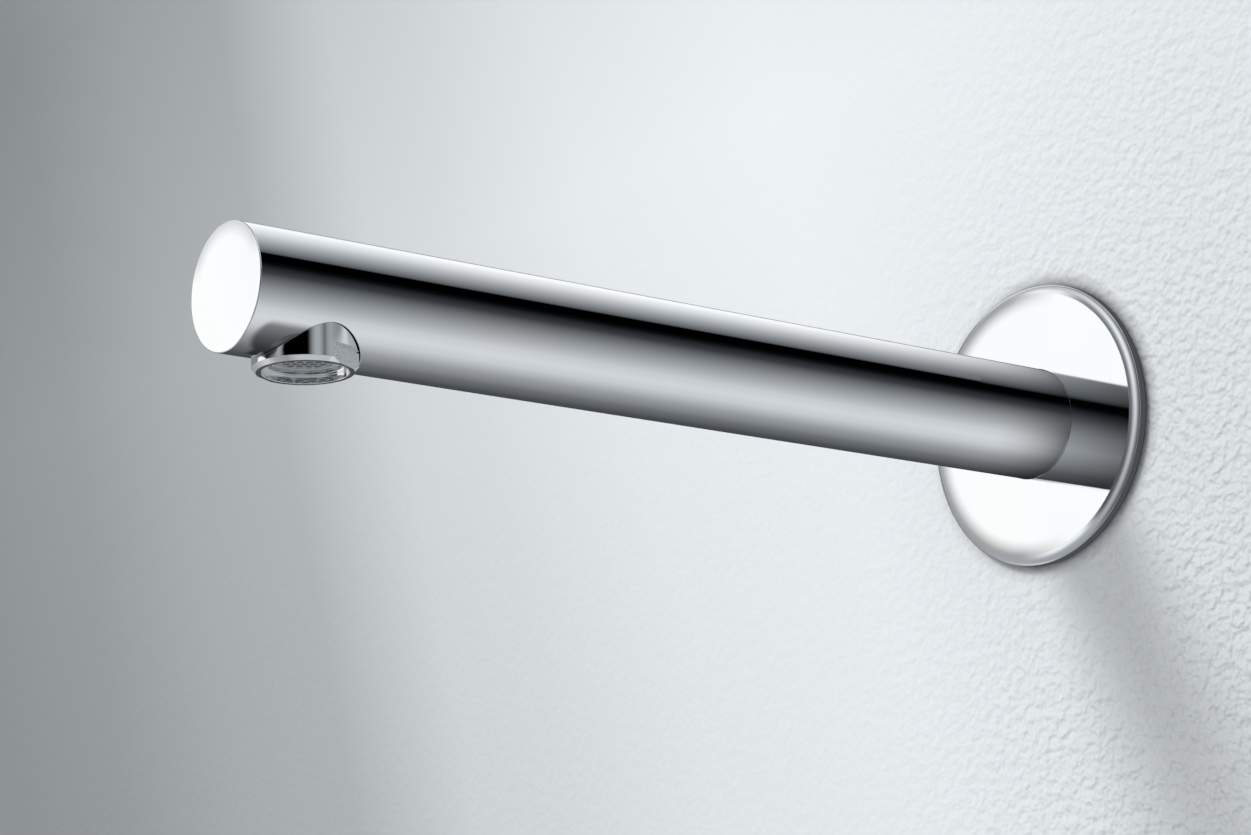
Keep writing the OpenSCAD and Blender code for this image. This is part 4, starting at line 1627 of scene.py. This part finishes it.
    def tip_shade_card(self) -> None:
        """The dark card under the tip, which the tube mirrors beside the collar as painted shade, with an
        edge 2 mm soft.

        Its edge is a parabola round the tube, 211 mm out at 59 degrees below +X and never under 209 mm.
        """
        angle, along = np.linspace(-88.0, -38.0, 61)[:, None], np.linspace(199.0, 212.8, 57)[None, :]
        turn = angle / 360
        mirror = Patch(placed(Axis.SPOUT, TUBE, along, turn), pointing(Axis.SPOUT, 1.0, 0.0, turn))
        end = np.maximum(211 - 1.9 * ((angle + 59) / 17) ** 2, 209.0)
        depth = (0.8 - 0.12 * np.clip((angle + 70) / 24, 0, 1)) * soft_step(angle, -38, -47)
        solid = depth * soft_step(along, end + 1, end - 1)
        light = np.concatenate([np.full(solid.shape + (3,), 0.004), solid[..., None]], axis=-1)
        self.mirror_card("tip_shade_card", mirror, 2, -12.62, light)

    def black_card(self) -> None:
        """The black card that the outlet's collar mirrors: it faces the collar, and only mirrors see it."""
        made, tree = material("black_velvet_card", bare=True)
        black = add(tree, "ShaderNodeEmission", None, {"Strength": 0.0}).outputs[0]
        add(tree, "ShaderNodeOutputMaterial", {"Surface": self.one_sided(tree, black)})
        middle, toward = Vector((0.0372, -0.2333, 0.0017)), Vector((0.62, -0.74, 0.26)).normalized()
        side = toward.cross(Vector((0.0, 0.0, 1.0))).normalized()
        rise = side.cross(toward)
        corners = [tuple(middle + side * u * 0.0225 + rise * v * 0.011)
                   for u, v in ((-1, -1), (1.24, -1), (1.24, 1), (-1, 1))]
        self.card(self.sheet("black_card", corners, made))

    def floor(self) -> None:
        """The pale floor, well below."""
        made, tree = material("pale_matt_floor")
        shader = tree.nodes["Principled BSDF"]
        shader.inputs["Roughness"].default_value = 0.8
        place = add(tree, "ShaderNodeTexCoord").outputs["Object"]
        cloud = add(tree, "ShaderNodeTexNoise", {"Vector": place}, {"Scale": 3.0, "Detail": 3.0}).outputs[0]
        shade = stops(tree, cloud, [(0.3, linear("D6D9DA")), (0.7, linear("DEE1E2"))])
        tree.links.new(shade, shader.inputs["Base Color"])
        z = -1.25
        self.sheet("floor", [(-3.0, -3.0, z), (3.0, -3.0, z), (3.0, 3.0, z), (-3.0, 3.0, z)], made)

    def lamp(self, name: str, spot: tuple[float, float, float], aim: tuple[float, float, float], size: float,
             watts: float) -> None:
        """A square soft lamp that mirrors don't see.

        Args:
            name: the lamp's name.
            spot: where it stands, in metres.
            aim: what it points at.
            size: its side in metres.
            watts: its power.
        """
        data = bpy.data.lights.new(name, "AREA")
        data.shape = "SQUARE"
        data.size = size
        data.energy = watts
        made = stand(name, data)
        made.location = spot
        made.rotation_euler = (Vector(aim) - Vector(spot)).to_track_quat("-Z", "Y").to_euler()
        made.visible_glossy = False

    def build(self) -> None:
        """Sets the whole studio."""
        for part in (self.surround, self.backdrop, self.floor, self.black_card, self.tube_cards,
                     self.collar_card, self.tip_shade_card, self.edge_card, self.rim_shade_card):
            part()
        self.soft_edge("flange_soft_edge", self.plate, (26.4, FACE_END), (EDGE_ROUND, 17.0), (70.0, 288.0),
                       0.64, 57.0)
        self.soft_edge("tip_soft_edge", REACH, (9.2, 12.28), (0.0, 0.0), (16.0, 164.0), 0.33, 30.0)
        self.lamp("key_lamp", (-0.82, -1.98, 1.84), (0.0, -0.08, 0.0), 0.72, 46.0)
        log.info("studio set")


@dataclass
class View:
    """The camera at the photograph's place.

    Attributes:
        spot: where it stands, in metres.
        yaw: degrees to the left of straight at the wall.
        pitch: degrees up.
        roll: degrees clockwise.
        lens: focal length in millimetres for a frame 36 mm wide.
    """

    spot: tuple[float, float, float] = (0.485349, -0.50408, -0.166498)
    yaw: float = 51.609
    pitch: float = 13.901
    roll: float = 1.925
    lens: float = 90.855

    def build(self) -> None:
        """Makes the camera: its axes are the sight line and two lines across it, turned by the roll."""
        yaw, pitch, roll = (math.radians(a) for a in (self.yaw, self.pitch, self.roll))
        sight = Vector((-math.sin(yaw) * math.cos(pitch), math.cos(yaw) * math.cos(pitch), math.sin(pitch)))
        level = sight.cross(Vector((0.0, 0.0, 1.0))).normalized()
        down = sight.cross(level)
        right = math.cos(roll) * level + math.sin(roll) * down
        below = -math.sin(roll) * level + math.cos(roll) * down
        data = bpy.data.cameras.new("camera")
        data.sensor_width = 36.0
        data.lens = self.lens
        data.clip_start = 0.01
        data.clip_end = 20.0
        made = stand("camera", data)
        axes = Matrix((right, -below, -sight)).transposed().to_4x4()
        made.matrix_world = Matrix.Translation(self.spot) @ axes
        bpy.context.scene.camera = made
        log.info("camera set")


def main() -> None:
    """Builds the camera, the studio and each sub-assembly in order."""
    logging.basicConfig(level=logging.INFO, format="%(name)s: %(message)s")
    bpy.context.scene.view_settings.view_transform = "Standard"
    View().build()
    Studio().build()
    shop = Workshop()
    for part in (WallFixing(), SeatWasher(), Spout(), Flange(), AeratorWasher(), Aerator()):
        part.build(shop)
    log.info("%d pieces", shop.count)


if __name__ == "__main__":
    main()
